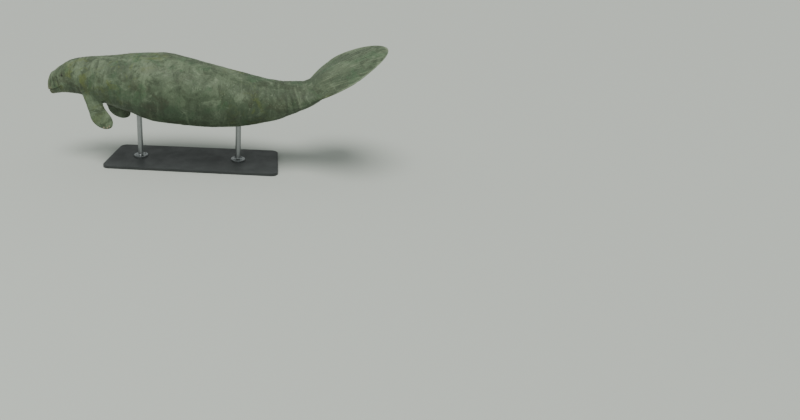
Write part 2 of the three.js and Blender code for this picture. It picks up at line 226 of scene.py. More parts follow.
def creases(p, seed, sharp=7.0):
    """Thin valleys, 0..1, along the lines where the noise changes sign."""
    return np.exp(-np.abs(noise(p, seed)) * sharp)


# ------------------------------------------------------------------ flippers
flipper_half = through([(0, .085), (.2, .074), (.45, .080), (.7, .091), (.85, .087), (1, .076)], 1)
flipper_thick = through([(0, .045), (.3, .030), (.7, .018), (1, .012)], 1)
flipper_sweep = through([(0, 0), (.5, .012), (1, .034)], 1)


def flipper_frame(side):
    back, out, up = FLIPPER_AXIS[side]
    axis = unit(np.array([back, side * out, up]))
    chord = np.array([FLIPPER_CHORD[0], side * FLIPPER_CHORD[1], FLIPPER_CHORD[2]])
    chord = unit(chord - axis * chord.dot(axis))
    outward = unit(np.cross(axis, chord))
    if outward[1] * side < 0:
        outward = -outward
    root = from_spine(np.array(FLIPPER_AT[side]), np.array(side * FLIPPER_OUT), np.array(-FLIPPER_BELOW[side]))
    return axis, chord, outward, root


def flipper(side, t, phi, grow=-.0012):
    axis, chord, outward, root = flipper_frame(side)
    t, phi = np.broadcast_arrays(np.asarray(t, float), np.asarray(phi, float))
    half = np.maximum(flipper_half(t) * closing((1 - t) / .3, 2.3) + grow, 1e-4)
    thick = np.maximum(flipper_thick(t) * closing((1 - t) / .06, 2) + grow, 1e-4)
    c = np.cos(phi)
    e = lambda k: np.asarray(k)[..., None]
    return (root + e(t * FLIPPER_LENGTH) * axis + e(FLIPPER_BEND[side] * t * np.abs(t)) * np.array([1.0, 0, 0])
            + e(half * c + flipper_sweep(t)) * chord + e(thick * np.sin(phi) * (1 - .3 * c)) * outward)


# ------------------------------------------------------------------ the skin's grid
AROUND = 200
DETAIL = [(0, .0030), (.36, .0030), (.62, .0060), (.90, .0092), (2.0, .0098), (2.30, .0090), (2.9, .0088), (3.12, .0040)]


def stations():
    """Rings spaced evenly over the surface, closer together on the head and at both ends."""
    t = np.linspace(0, 1, 6001)
    s = LENGTH * (t - np.sin(2 * np.pi * t) / (2 * np.pi) * .98)  # more samples near both ends
    s = np.clip(s, 2e-5, LENGTH - 4e-4)
    y, _ = outline(s, 0 * s)
    _, v = outline(s, 0 * s + np.pi / 2)
    r = (np.abs(y) + np.abs(v)) / 2
    arc = np.concatenate([[0], np.cumsum(np.hypot(np.diff(s), np.diff(r)))])
    step = np.interp(arc, [d[0] for d in DETAIL], [d[1] for d in DETAIL])
    count = np.concatenate([[0], np.cumsum(np.diff(arc) * 2 / (step[1:] + step[:-1]))])
    n = int(round(count[-1]))
    at = np.interp(np.linspace(0, count[-1], n + 1), count, s)
    return at


S = stations()
NI, NJ = len(S), AROUND
PHI = np.arange(NJ) * 2 * np.pi / NJ - np.pi / 2  # column 0 runs along the middle of the belly
grid_s = np.repeat(S, NJ)
grid_phi = np.tile(PHI, NI)
grid = body(grid_s, grid_phi)
grid_n = body_normal(grid_s, grid_phi)
tree = kdtree.KDTree(len(grid))
for k, co in enumerate(grid):
    tree.insert(co, k)
tree.balance()


class Skin:
    """Points with what is known of each, and faces with a UV at each corner."""

    def __init__(self):
        self.co, self.s, self.phi, self.kind, self.t, self.th, self.r = [], [], [], [], [], [], []
        self.faces, self.uvs = [], []
        self.n = 0

    def add(self, co, s, phi, kind, t=0.0, th=0.0, r=1.0):
        k = len(co)
        for store, value in ((self.s, s), (self.phi, phi), (self.kind, kind), (self.t, t), (self.th, th), (self.r, r)):
            store.append(np.broadcast_to(np.asarray(value, float), (k,)).copy())
        self.co.append(np.asarray(co, float))
        self.n += k
        return np.arange(self.n - k, self.n)


U_OF_S = np.interp(S, [0, .02, .45, LENGTH], [.003, .045, .34, .997])
V_TOP = .655


def grid_uv(i, j):
    return U_OF_S[i], .003 + (V_TOP - .003) * j / NJ


skin = Skin()
base = skin.add(grid, grid_s, grid_phi, 0).reshape(NI, NJ)
keep = np.ones((NI - 1, NJ), bool)


def cut_hole(inside, grow):
    """Leaves out the cells around the marked points. Returns the hole's corner indices and its rim, in order."""
    ii, jj = np.nonzero(inside.reshape(NI, NJ))
    i0, i1 = ii.min() - grow, ii.max() + grow
    j0, j1 = jj.min() - grow, jj.max() + grow
    keep[i0:i1, j0:j1] = False
    rim = [(i0, j) for j in range(j0, j1)] + [(i, j1) for i in range(i0, i1)] + [(i1, j) for j in range(j1, j0, -1)] + [(i, j0) for i in range(i1, i0, -1)]
    return (i0, i1, j0, j1), np.array(rim)


def bridge(rings, uv_of):
    """Faces from each ring of indices to the next. uv_of(ring number, step) gives a corner's UV."""
    n = len(rings[0])
    for k in range(len(rings) - 1):
        for a in range(n):
            b = (a + 1) % n
            skin.faces.append((rings[k][b], rings[k][a], rings[k + 1][a], rings[k + 1][b]))
            skin.uvs.append((uv_of(k, a + 1), uv_of(k, a), uv_of(k + 1, a), uv_of(k + 1, a + 1)))


def fan(ring, centre, uv_ring, uv_centre, flip=False):
    n = len(ring)
    for a in range(n):
        b = (a + 1) % n
        f = (ring[b], ring[a], centre)
        u = (uv_ring(a + 1), uv_ring(a), uv_centre(a))
        if flip:
            f, u = f[::-1], u[::-1]
        skin.faces.append(f)
        skin.uvs.append(u)


# flippers: a hole in the flank, and rings that flow out of it into the flipper
K_FILLET, K_FLIPPER = 11, 40
for side, word in SIDES:
    kind = 1 if side < 0 else 2
    axis, chord, outward, root = flipper_frame(side)
    rel = grid - root
    a_t = rel @ axis / FLIPPER_LENGTH
    off = rel - np.outer(a_t * FLIPPER_LENGTH, axis) - np.outer(FLIPPER_BEND[side] * a_t * np.abs(a_t), [1, 0, 0])
    cx = (off @ chord - flipper_sweep(np.clip(a_t, 0, 1))) / (flipper_half(np.clip(a_t, 0, 1)) + .004)
    cy = off @ outward / (flipper_thick(np.clip(a_t, 0, 1)) + .006)
    inside = (cx ** 2 + cy ** 2 < 1) & (a_t > -.25) & (a_t < .8)
    (i0, i1, j0, j1), rim = cut_hole(inside, 2)
    ring0 = base[rim[:, 0], rim[:, 1]]
    P0 = grid[ring0]
    N0 = grid_n[ring0]
    # angle of each rim point round the flipper
    rr = P0 - root
    at = np.clip(rr @ axis / FLIPPER_LENGTH, 0, .6)
    ox = (rr @ chord - flipper_sweep(at)) / flipper_half(at)
    oy = (rr @ outward) / flipper_thick(at)
    ang = np.unwrap(np.arctan2(oy, ox))
    turn = np.sign(ang[-1] - ang[0])
    n = len(rim)
    even = ang.mean() + turn * (np.arange(n) - (n - 1) / 2) * 2 * np.pi / n
    theta = .45 * ang + .55 * even
    for _ in range(12):  # even out the steps a little, round the ring
        ext = np.concatenate([[theta[-1] - turn * 2 * np.pi], theta, [theta[0] + turn * 2 * np.pi]])
        theta = .5 * theta + .25 * (ext[:-2] + ext[2:])
    # where each line of the flipper leaves the body
    exit_t = np.zeros(n)
    for a in range(n):
        ts = np.linspace(0, .7, 71)
        line = flipper(side, ts, theta[a])
        last = 0.0
        for tt, pt in zip(ts, line):
            co, idx, _ = tree.find(pt)
            if (pt - grid[idx]) @ grid_n[idx] < 0:
                last = tt
        exit_t[a] = last
    for _ in range(10):
        exit_t = .5 * exit_t + .25 * (np.roll(exit_t, 1) + np.roll(exit_t, -1))
    start_t = exit_t + .085
    P1 = flipper(side, start_t, theta)
    D1 = unit(flipper(side, start_t + .02, theta) - flipper(side, start_t, theta))
    gap = np.linalg.norm(P1 - P0, axis=1)
    centre_dir = P1 - P0
    T0 = unit(centre_dir - N0 * np.sum(centre_dir * N0, 1, keepdims=True))
    rings = [ring0]
    s0, p0 = grid_s[ring0], grid_phi[ring0]
    for k in range(1, K_FILLET + K_FLIPPER + 1):
        if k <= K_FILLET:
            u = k / K_FILLET
            h00, h10, h01, h11 = 2 * u ** 3 - 3 * u ** 2 + 1, u ** 3 - 2 * u ** 2 + u, 3 * u ** 2 - 2 * u ** 3, u ** 3 - u ** 2
            co = h00 * P0 + h10 * T0 * gap[:, None] * .9 + h01 * P1 + h11 * D1 * gap[:, None] * .8
            t = u * start_t
            th = theta
            r = np.full(n, 1 - u)
        else:
            u = (k - K_FILLET) / K_FLIPPER
            u2 = 1 - (1 - u) ** 1.35
            t = start_t + (.9994 - start_t) * u2
            th = theta + smooth(u) * .5 * (even - theta)
            co = flipper(side, t, th)
            r = np.zeros(n)
        rings.append(skin.add(co, s0, p0, kind, t, th, r))
    u0, v0 = (.004, .672) if side < 0 else (.504, .672)
    uv = lambda k, a, u0=u0, v0=v0, n=n: (u0 + .490 * a / n, v0 + .318 * k / (K_FILLET + K_FLIPPER + 1))
    bridge(rings, uv)
    tip = skin.add(skin.co[-1].mean(0, keepdims=True) + unit(axis) * .0002, s0.mean(), p0.mean(), kind, 1.0, 0.0, 0.0)[0]
    last = K_FILLET + K_FLIPPER
    fan(rings[-1], tip, lambda a: uv(last, a), lambda a: uv(last + 1, a + .5))

# eyes: a hole in the cheek's grid, and rings that close on the eye and line its socket
EYE_RINGS = [(.86, 0), (.72, 0), (.60, 0), (.50, 0)]  # then radii in metres, with the depth of each under the skin's surface
LID = [(.0155, 0), (.0136, 0), (.0120, 0), (.0106, 0), (.0094, 0), (.0084, 0), (.0076, .0003), (.0070, .0009), (.0067, .0017), (.0068, .0027), (.0076, .0042), (.0095, .0066), (.0112, .0100), (.0108, .0150), (.0080, .0190), (.0040, .0208)]
eyes = {}
for side, word in SIDES:
    kind = 3 if side < 0 else 4
    # the angle round the section whose height is the eye's
    search = np.linspace(0, np.pi / 2, 4000)
    phi_c = search[np.argmax(outline(EYE_AT, search, 0)[1] >= EYE_ABOVE)]
    if side < 0:
        phi_c = np.pi - phi_c
    c0 = body(EYE_AT, phi_c, 0)
    n0 = body_normal(np.array([EYE_AT]), np.array([phi_c]))[0]
    eyes[side] = dict(surface=c0, normal=n0, ball=c0 - n0 * EYE_SUNK, s=EYE_AT, phi=phi_c)
    near = np.linalg.norm(grid - c0, axis=1) < .0215
    (i0, i1, j0, j1), rim = cut_hole(near, 1)
    ring0 = base[rim[:, 0], rim[:, 1]]
    s0, p0 = grid_s[ring0], grid_phi[ring0]
    dP_s = np.linalg.norm(body(EYE_AT + .002, phi_c) - body(EYE_AT - .002, phi_c)) / .004
    dP_p = np.linalg.norm(body(EYE_AT, phi_c + .01) - body(EYE_AT, phi_c - .01)) / .02
    ax, ay = (s0 - EYE_AT) * dP_s, (p0 - phi_c) * dP_p
    ang = np.unwrap(np.arctan2(ay, ax))
    turn = np.sign(ang[-1] - ang[0])
    n = len(rim)
    even = ang.mean() + turn * (np.arange(n) - (n - 1) / 2) * 2 * np.pi / n
    rings = [ring0]
    r_first = LID[0][0]
    specs = [("blend", w) for w, _ in EYE_RINGS] + [("lid", rd) for rd in LID]
    for k, (how, value) in enumerate(specs):
        if how == "blend":
            w = value
            th = even * (1 - w) + ang * w
            rad = np.hypot(ax, ay)
            target = r_first
            f = (w - .42) / (1 - .42)
            rr_ = target * 1.0 + (rad - target) * max(f, 0) ** 1.0
            depth = 0.0
        else:
            th = even
            oval = .10 * bump(value[0] - .0068, .0030) if value[1] < .0030 else .10 * bump(value[1] - .0030, .0030)
            rr_ = value[0] * (1 + oval * np.cos(2 * (th - .12)))
            depth = value[1]
        ss = EYE_AT + rr_ * np.cos(th) / dP_s
        pp = phi_c + rr_ * np.sin(th) / dP_p
        co = body(ss, pp)
        nn = body_normal(ss, pp)
        co = co - (nn * .3 + n0 * .7) * depth
        rings.append(skin.add(co, ss, pp, kind, 0.0, th, rr_ if how == "blend" or depth == 0 else -depth))
    uc = (U_OF_S[i0] + U_OF_S[i1]) / 2
    vc = grid_uv(0, (j0 + j1) / 2)[1]
    rim_uv = np.array([grid_uv(i, j) for i, j in rim])
    total = len(rings)
    uv = lambda k, a, rim_uv=rim_uv, uc=uc, vc=vc, n=n, total=total: tuple(np.array([uc, vc]) + (rim_uv[a % n] - [uc, vc]) * (1 - k / total))
    bridge(rings, uv)
    back = skin.add(skin.co[-1].mean(0, keepdims=True) - n0 * .0006, EYE_AT, phi_c, kind, 0.0, 0.0, -.0214)[0]
    fan(rings[-1], back, lambda a: uv(total - 1, a), lambda a: (uc, vc))

# the body's own cells, and its two ends
for i in range(NI - 1):
    for j in range(NJ):
        if keep[i, j]:
            k = (j + 1) % NJ
            skin.faces.append((base[i, j], base[i + 1, j], base[i + 1, k], base[i, k]))
            skin.uvs.append((grid_uv(i, j), grid_uv(i + 1, j), grid_uv(i + 1, j + 1), grid_uv(i, j + 1)))
nose = skin.add([body(S[0], PHI).mean(0)], S[0], 0, 0)[0]
tail = skin.add([body(S[-1], PHI).mean(0) + np.array([.0002, 0, .0001])], S[-1], 0, 0)[0]
fan(base[0], nose, lambda a: grid_uv(0, a), lambda a: (.0005, grid_uv(0, a + .5)[1]))
fan(base[-1], tail, lambda a: grid_uv(NI - 1, a), lambda a: (.9995, grid_uv(0, a + .5)[1]), flip=True)

# compress to the points in use
co = np.concatenate(skin.co)
ats = {k: np.concatenate(getattr(skin, k)) for k in ("s", "phi", "kind", "t", "th", "r")}
used = np.zeros(len(co), bool)
for f in skin.faces:
    for v in f:
        used[v] = True
new = np.cumsum(used) - 1
co = co[used]
ats = {k: v[used] for k, v in ats.items()}
faces = [tuple(int(new[v]) for v in f) for f in skin.faces]
base_new = np.where(used[base], new[base], -1)


def face_arrays():
    quads = np.array([f if len(f) == 4 else f + (f[2],) for f in faces])
    return quads


QUADS = face_arrays()


def normals_of(co):
    a, b, c, d = (co[QUADS[:, k]] for k in range(4))
    fn = np.cross(c - a, d - b)
    tri = QUADS[:, 2] == QUADS[:, 3]
    fn[tri] = np.cross(b[tri] - a[tri], c[tri] - a[tri])
    vn = np.zeros_like(co)
    for k in range(4):
        np.add.at(vn, QUADS[:, k], fn)
    return unit(vn)


def signed_volume(co):
    a, b, c, d = (co[QUADS[:, k]] for k in range(4))
    return (np.sum(a * np.cross(b, c)) + np.sum(a * np.cross(c, d))) / 6


if signed_volume(co) < 0:
    faces = [f[::-1] for f in faces]
    skin.uvs = [u[::-1] for u in skin.uvs]
    QUADS = face_arrays()

# relax the flowing part of the flippers' roots and of the eyes' rims
edges = set()
for f in faces:
    m = len(f)
    for k in range(m):
        a, b = f[k], f[(k + 1) % m]
        edges.add((min(a, b), max(a, b)))
edges = np.array(sorted(edges))
degree = np.bincount(edges.ravel(), minlength=len(co)).astype(float)


def relax(co, weight, rounds):
    for _ in range(rounds):
        total = np.zeros_like(co)
        np.add.at(total, edges[:, 0], co[edges[:, 1]])
        np.add.at(total, edges[:, 1], co[edges[:, 0]])
        co = co + weight[:, None] * (total / degree[:, None] - co)
    return co


fillet = ((ats["kind"] == 1) | (ats["kind"] == 2)) & (ats["r"] > 0)
near_root = np.zeros(len(co))
roots = kdtree.KDTree(int(fillet.sum()))
fillet_co = co[fillet]
for k, p in enumerate(fillet_co):
    roots.insert(p, k)
roots.balance()
close = np.nonzero((ats["kind"] == 0) & (ats["s"] > .25) & (ats["s"] < .8))[0]
for k in close:
    near_root[k] = 1 - smooth(roots.find(co[k])[2] / .045)
near_root[fillet] = 1
near_root[(ats["kind"] > 0) & (ats["kind"] < 3) & (ats["r"] == 0) & (ats["t"] < .55)] = .5
co = relax(co, near_root * .55, 60)

# ------------------------------------------------------------------ folds, lips, nostrils, lids
nrm = normals_of(co)
s, phi, kind, t_, th_, r_ = (ats[k] for k in ("s", "phi", "kind", "t", "th", "r"))
is_body = (kind == 0) | (kind >= 3)
is_flip = (kind == 1) | (kind == 2)
_x, _z, _tilt = spine(s)
# straightened coordinates: along the spine line, sideways, and up from it
rest = np.stack([s, co[:, 1], -(co[:, 0] - _x) * np.sin(_tilt) + (co[:, 2] - _z) * np.cos(_tilt)], -1)
fx, fz, ft = spine(np.array(SHOULDER_AT))
off_x, off_z = co[:, 0] - fx, co[:, 2] - fz
level = np.stack([SHOULDER_AT + off_x * np.cos(ft) + off_z * np.sin(ft), co[:, 1], -off_x * np.sin(ft) + off_z * np.cos(ft)], -1)
into = (is_flip * smooth((1 - r_) * 1.3))[:, None]
rest = rest * (1 - into) + level * into
y, v = rest[:, 1], rest[:, 2]
angle = np.degrees(np.arctan2(v, np.abs(y)))
wide = np.hypot(y, v)

depth = np.zeros(len(co))  # along the normal, + is out
crease = np.zeros(len(co))  # how much a point lies in a fold, 0..1, for the colour
on = np.where(is_flip, smooth(r_), 1.0)
face_zone = on * (1 - smooth((s - .26) / .10))


def press(amount, groove, lips=.35, mask=1.0):
    """Adds a fold: groove is 1 on its line and 0 away from it."""
    global depth, crease
    depth = depth - amount * groove * mask
    crease = np.maximum(crease, np.clip(groove * mask, 0, 1) * np.minimum(1.0, amount / .004))


# neck and shoulder folds, round the sides and the throat
for at, deep, width, top, bottom, wave, seed in [
    (.262, .0050, .0070, .35, 1.0, .010, 3), (.300, .0032, .0055, .9, .55, .012, 5), (.343, .0058, .0080, .55, 1.0, .014, 7),
    (.392, .0036, .0065, 1.0, .5, .016, 11), (.438, .0060, .0090, .45, .9, .018, 13), (.498, .0034, .0080, 1.0, .25, .020, 17),
    (.560, .0030, .0085, .9, .2, .024, 19), (.640, .0026, .0090, .8, .3, .030, 23), (.735, .0022, .0100, .8, .3, .036, 29)]:
    line = at + wave * noise(np.stack([y * 5, v * 5, 0 * y + at * 9], -1), seed) + .010 * np.sin(np.radians(angle) * 1.3 + seed) - .030 * smooth((angle - 35) / 60) * (at > .3)
    where = bottom + (top - bottom) * smooth((angle + 50) / 100)
    where = where * (.55 + .45 * noise(np.stack([y * 9 + at * 50, v * 9, 0 * y], -1), seed + 1))
    press(deep, bump(s - line, width), mask=on * np.clip(where, 0, 1))
    depth = depth + deep * .30 * (bump(s - line - width * 2.1, width * 1.5) + bump(s - line + width * 2.1, width * 1.5)) * on * np.clip(where, 0, 1) - deep * .30 * bump(s - line, width * 4) * on

# fine wrinkles of the face, across the muzzle and cheeks
fine = creases(np.stack([s * 78, y * 19, v * 19], -1), 41, 5.5)
press(.0027, fine, mask=face_zone * smooth((s - .055) / .05) * (.6 + .4 * noise(rest * 22, 43)))
fine2 = creases(np.stack([s * 46 + v * 26, y * 30, v * 42], -1), 47, 5.0)
press(.0021, fine2, mask=face_zone * smooth((s - .10) / .06))
# the rest of the trunk: shallow creases across the flanks, and a body that isn't perfectly even
trunk = on * smooth((s - .30) / .12)
press(.0028, creases(np.stack([s * 21, y * 5.0, v * 5.0], -1), 53, 4.2), mask=trunk * (1 - smooth((s - 2.30) / .2)) * (.55 + .45 * noise(rest * 3.1, 59)))
press(.0019, creases(np.stack([s * 36 + v * 9, y * 13, v * 13], -1), 61, 3.8), mask=trunk * (1 - smooth((s - 2.35) / .2)) * (.5 + .5 * noise(rest * 4.3, 67)))
depth = depth + on * (.0030 * (noise(rest * 5.2, 71) - .35) * smooth((s - .35) / .3) + .0016 * (noise(rest * 14, 73) - .35) * smooth((s - .2) / .3)) * (1 - .6 * smooth((s - 2.3) / .2))
# tail stock: closer folds where it bends up, and the keel lines at its sides
stock = on * smooth((s - 1.95) / .15) * (1 - smooth((s - 2.38) / .12))
for at, deep, width, seed in [(2.02, .0022, .009, 81), (2.085, .0028, .009, 83), (2.14, .0034, .010, 85), (2.19, .0030, .009, 87), (2.245, .0034, .010, 89), (2.30, .0024, .009, 91)]:
    line = at + .016 * noise(np.stack([y * 7, v * 7, 0 * y + at], -1), seed)
    press(deep, bump(s - line, width), mask=stock * np.clip(.35 + .65 * noise(np.stack([y * 6, v * 6, s * 2], -1), seed + 1) + .3 * (v > 0), 0, 1))
# paddle: shallow ridges that run out towards the rim, and a rim with a few small nicks
paddle = on * smooth((s - 2.36) / .16)
fanned = np.arctan2(y, s - 2.02)
press(.0017, creases(np.stack([s * 3.2, fanned * 17, 0 * s], -1), 97, 3.2), mask=paddle * (.6 + .4 * noise(rest * 5, 98)))
press(.0010, creases(np.stack([s * 26, fanned * 9, 0 * s], -1), 99, 4.0), mask=paddle * .8)

# philtrum: the cleft between the two halves of the upper lip
front = on * (1 - smooth((s - .030) / .045))
cleft = bump(y, .0052 + .010 * smooth((v + .01) / .09)) * smooth((v + .052) / .012) * (1 - smooth((v - .035) / .05))
press(.0085, cleft, mask=front)
# the lip's halves swell either side of it
depth = depth + .0022 * bump(np.abs(y) - .034, .020) * bump(v + .014, .030) * front
# a fold above the bristly front of the lips, round the muzzle
ring_line = .046 + .010 * np.cos(np.radians(angle)) + .004 * noise(rest * 16, 103)
press(.0056, bump(s - ring_line, .0048), mask=on * smooth((v + .020) / .03) * (1 - smooth((v - .085) / .02)) * smooth((np.abs(y) - .012) / .02))
press(.0052, bump(s - .088 - .010 * noise(rest * 12, 107) + .12 * (v - .02) * smooth((v - .02) / .05), .0050), mask=on * smooth((v + .035) / .03) * (1 - .8 * smooth((v - .045) / .05)))
press(.0058, bump(s - .124 - .012 * noise(rest * 10, 109) + .10 * v, .0062), mask=on * smooth((v + .075) / .03) * (1 - smooth((v - .05) / .05)))

# mouth: a deep groove round the front and back under the cheek
mx, mz, mt = spine(np.array(.110))
h = -(co[:, 0] - (mx + math.sin(mt) * MOUTH_BELOW)) * math.sin(mt) + (co[:, 2] - (mz - math.cos(mt) * MOUTH_BELOW)) * math.cos(mt)
lip_line = -.0110 * bump(np.abs(y) - .052, .034) * (1 - smooth((s - .08) / .05)) + .0100 * bump(y, .012) * front + .020 * smooth((s - .085) / .07)
hh = h - lip_line
mouth_zone = on * (1 - smooth((s - .140) / .022)) * (v < .02)
open_ = bump(hh, .0036) * mouth_zone
press(.0120 * (1 - .55 * smooth((s - .07) / .07)), open_)
crease = np.maximum(crease, open_)
depth = depth - .0055 * smooth(-hh / .006) * (1 - smooth((-hh - .016) / .016)) * mouth_zone * (1 - smooth((s - .10) / .04))  # the lower lip sits behind the upper
depth = depth + .0012 * bump(hh - .009, .006) * mouth_zone
# a small chin pad
depth = depth - .0020 * bump(hh + .030, .008) * mouth_zone
# corner of the mouth: short folds that fan out behind it
for k, (da, dv) in enumerate([(.150, -.020), (.158, -.033), (.166, -.046)]):
    line = da + .35 * (v - dv) * (1 if k % 2 else -1) * .5
    press(.0024, bump(s - line, .0038) * bump(v - dv, .020), mask=on)

# nostrils: two closed crescents on top of the snout's front
nostrils = []
for side, word in SIDES:
    search = np.linspace(np.pi / 2, 0, 4000)
    phi_n = search[np.argmax(outline(NOSTRIL_AT, search, 0)[0] >= NOSTRIL_SIDE)]
    if side < 0:
        phi_n = np.pi - phi_n
    c = body(NOSTRIL_AT, phi_n)
    n = body_normal(np.array([NOSTRIL_AT]), np.array([phi_n]))[0]
    back_dir = unit(body(NOSTRIL_AT + .01, phi_n) - c)
    across = unit(np.cross(n, back_dir)) * (1 if np.cross(n, back_dir)[1] * side > 0 else -1)
    nostrils.append((c, n))
    rel = co - c
    a, b, out = rel @ across, rel @ back_dir, rel @ n
    nearby = on * (np.abs(out) < .03)
    rad = np.hypot(a, b)
    turn = np.arctan2(a, -b) - .5  # 0 points forwards
    arc = bump(rad - .0086, .0026) * smooth((np.cos(turn) + .55) / .5)
    depth = depth + (.0018 * bump(rad - .0145, .0050) - .0012 * bump(rad, .022)) * nearby
    press(.0062, arc, mask=nearby)
    crease = np.maximum(crease, arc * nearby)
    depth = depth + .0016 * bump(rad, .0056) * nearby

# ears: a pinhole behind each eye
for side, word in SIDES:
    phi_e = .50 if side > 0 else np.pi - .50
    c = body(.262, phi_e)
    rad = np.linalg.norm(co - c, axis=1)
    press(.0035, bump(rad, .0034))
    crease = np.maximum(crease, bump(rad, .0034))

# lids: rings and spokes of small folds round the eye, and the thick rim
for side, word in SIDES:
    e = eyes[side]
    rel = co - e["surface"]
    flat_r = np.linalg.norm(rel - np.outer(rel @ e["normal"], e["normal"]), axis=1)
    zone = on * (np.abs(rel @ e["normal"]) < .05) * (flat_r < .07)
    lidm = ((kind == (3 if side < 0 else 4)) & (r_ > 0)) | ((kind == 0) & (zone > 0))
    m = zone * lidm
    turn = np.arctan2(rel[:, 2], rel[:, 0])
    depth = depth - .0040 * bump(flat_r, .019) * m  # the eye sits in a shallow dip
    depth = depth + .0027 * bump(flat_r - .0096, .0023) * m * (flat_r > .0058)
    press(.0026, bump(flat_r - .0133 - .0006 * np.sin(turn * 3), .0017), mask=m)
    press(.0026, bump(flat_r - .0190 - .0014 * np.sin(turn * 2 + .6), .0022), mask=m * (.70 + .30 * np.sin(turn + .8)))
    press(.0024, bump(flat_r - .0265 - .0024 * np.sin(turn * 2 + 1.4), .0028), mask=m * (.55 + .45 * np.cos(turn - .6)))
    press(.0020, bump(flat_r - .0360 - .0030 * np.sin(turn * 2 + 2.0), .0034), mask=m * (.5 + .5 * np.sin(turn * 1.5 + 1.0)))
    spokes = np.maximum(0, np.cos(turn * 12 + 1.5 * np.sin(turn * 3))) ** 2
    press(.0016, spokes * bump(flat_r - .0142, .0042), mask=m)
    wide_spokes = np.maximum(0, np.cos(turn * 9 + 2.0 * np.sin(turn * 2) + 1)) ** 3
    press(.0014, wide_spokes * bump(flat_r - .0240, .0110), mask=m)
    crease = np.maximum(crease, (kind == (3 if side < 0 else 4)) * (r_ < 0) * 1.0)
    # tear and crow's foot lines behind and in front
    for dx, dz, ln in [(.030, .004, .020), (.034, -.010, .024), (-.028, -.008, .018)]:
        px, pz = rel[:, 0] - dx, rel[:, 2] - dz
        press(.0014, bump(pz - .25 * px * np.sign(dz), .0020) * bump(px, ln), mask=m * (flat_r > .018))

# navel, and the short slit before the tail, along the middle of the belly
under = on * (v < 0)
press(.0045, bump(y, .0060) * bump(s - 1.36, .016), mask=under)
press(.0030, bump(y, .0050) * bump(s - 1.86, .030), mask=under)
press(.0026, bump(y, .0050) * bump(s - 2.00, .014), mask=under)

# armpits and flippers
fl = is_flip * (1 - smooth(r_))
press(.0030, creases(np.stack([t_ * 15, y * 6, v * 6], -1), 121, 4.5), mask=fl * smooth((t_ - .10) / .12) * (1 - smooth((t_ - .62) / .2)))
press(.0011, creases(rest * np.array([34, 17, 17]), 123, 4.5), mask=fl * smooth((t_ - .1) / .1) * (1 - smooth((t_ - .9) / .08)))
for at, deep in [(.20, .0030), (.27, .0026), (.345, .0022)]:
    press(deep, bump(t_ - at - .018 * np.sin(th_ * 2 + at * 40), .014), mask=fl * np.clip(.6 + .4 * np.cos(th_), 0, 1))
# five faint fingers under the blade's skin
finger = np.maximum(0, np.cos((np.cos(th_) * flipper_half(np.clip(t_, 0, 1)) / .083) * 2 * np.pi * 1.9 + .6))
depth = depth - .0011 * finger * fl * smooth((t_ - .45) / .2) * (1 - smooth((t_ - .93) / .05)) * np.abs(np.sin(th_))
rim_soft = fl * smooth((t_ - .90) / .05)
depth = depth - .0006 * fl

# nothing stands out past the smooth outline by more than the inset allows
depth = np.minimum(depth, .0014)
# and the paddle keeps its thickness where it runs out to its edge
_level = np.abs(np.sin(phi))
_rise = PADDLE_EDGE * _level + (1 - PADDLE_EDGE) * _level ** PADDLE_RIDGE
_thin = np.minimum(up_at(s), down_at(s)) * closing((LENGTH - s) / PADDLE_EDGE_CLOSING, 2) * _rise
depth = np.where(on * (s > 2.3) > .5, np.maximum(depth, -.40 * np.maximum(_thin - INSET, 0)), depth)
depth = depth * np.where(on * (s > 2.9) > .5, smooth((LENGTH - s) / .040), 1.0)
socket = (kind >= 3) & (r_ < 0)
depth[socket] = -.0040 * np.exp(-((.0067 / .019) ** 2)) + .0027 * np.exp(-(((.0067 - .0096) / .0023) ** 2))
co = co + nrm * depth[:, None]
co = relax(co, np.where(is_body & (s < .30) & (kind == 0), .10, 0) + np.where(fl > 0, .12, 0) * (t_ < .97), 1)

# the rim of the paddle: small nicks, drawn straight in along the width
flat = smooth((s - 2.40) / .12) * on
nick = np.zeros(len(co))
for sy, at, size, deep in [(-1, 2.655, .014, .007), (-1, 2.842, .010, .005), (1, 2.565, .017, .009), (1, 2.780, .012, .004)]:
    nick = nick + deep * bump(s - at, size) * (np.sign(y) == sy)
share = np.clip(np.abs(y) / np.maximum(half_at(s) * closing((LENGTH - s) / PADDLE_ROUNDING, 1.95), .02), 0, 1)
pull = flat * (nick + .0014 * (1 + noise(np.stack([s * 34, np.sign(y) * 3, 0 * s], -1), 131))) * smooth((share - .80) / .2) * smooth((LENGTH - s) / .030)
co[:, 1] -= np.sign(y) * pull

nrm = normals_of(co)


# ------------------------------------------------------------------ meshes
def make_mesh(name, co, faces, uvs=None, attributes=None, smooth_shade=True):
    me = bpy.data.meshes.new(name)
    me.from_pydata([tuple(p) for p in co], [], faces)
    me.update()
    if uvs is not None:
        layer = me.uv_layers.new(name="OFBake")
        flat_uv = np.array([c for f in uvs for c in f], float).ravel()
        layer.data.foreach_set("uv", flat_uv)
    for key, values in (attributes or {}).items():
        values = np.asarray(values, float)
        if values.ndim == 2:
            at = me.attributes.new(key, "FLOAT_VECTOR", "POINT")
            at.data.foreach_set("vector", values.ravel())
        else:
            at = me.attributes.new(key, "FLOAT", "POINT")
            at.data.foreach_set("value", values)
    me.polygons.foreach_set("use_smooth", [smooth_shade] * len(me.polygons))
    me.validate()
    ob = bpy.data.objects.new(name, me)
    bpy.context.scene.collection.objects.link(ob)
    return ob


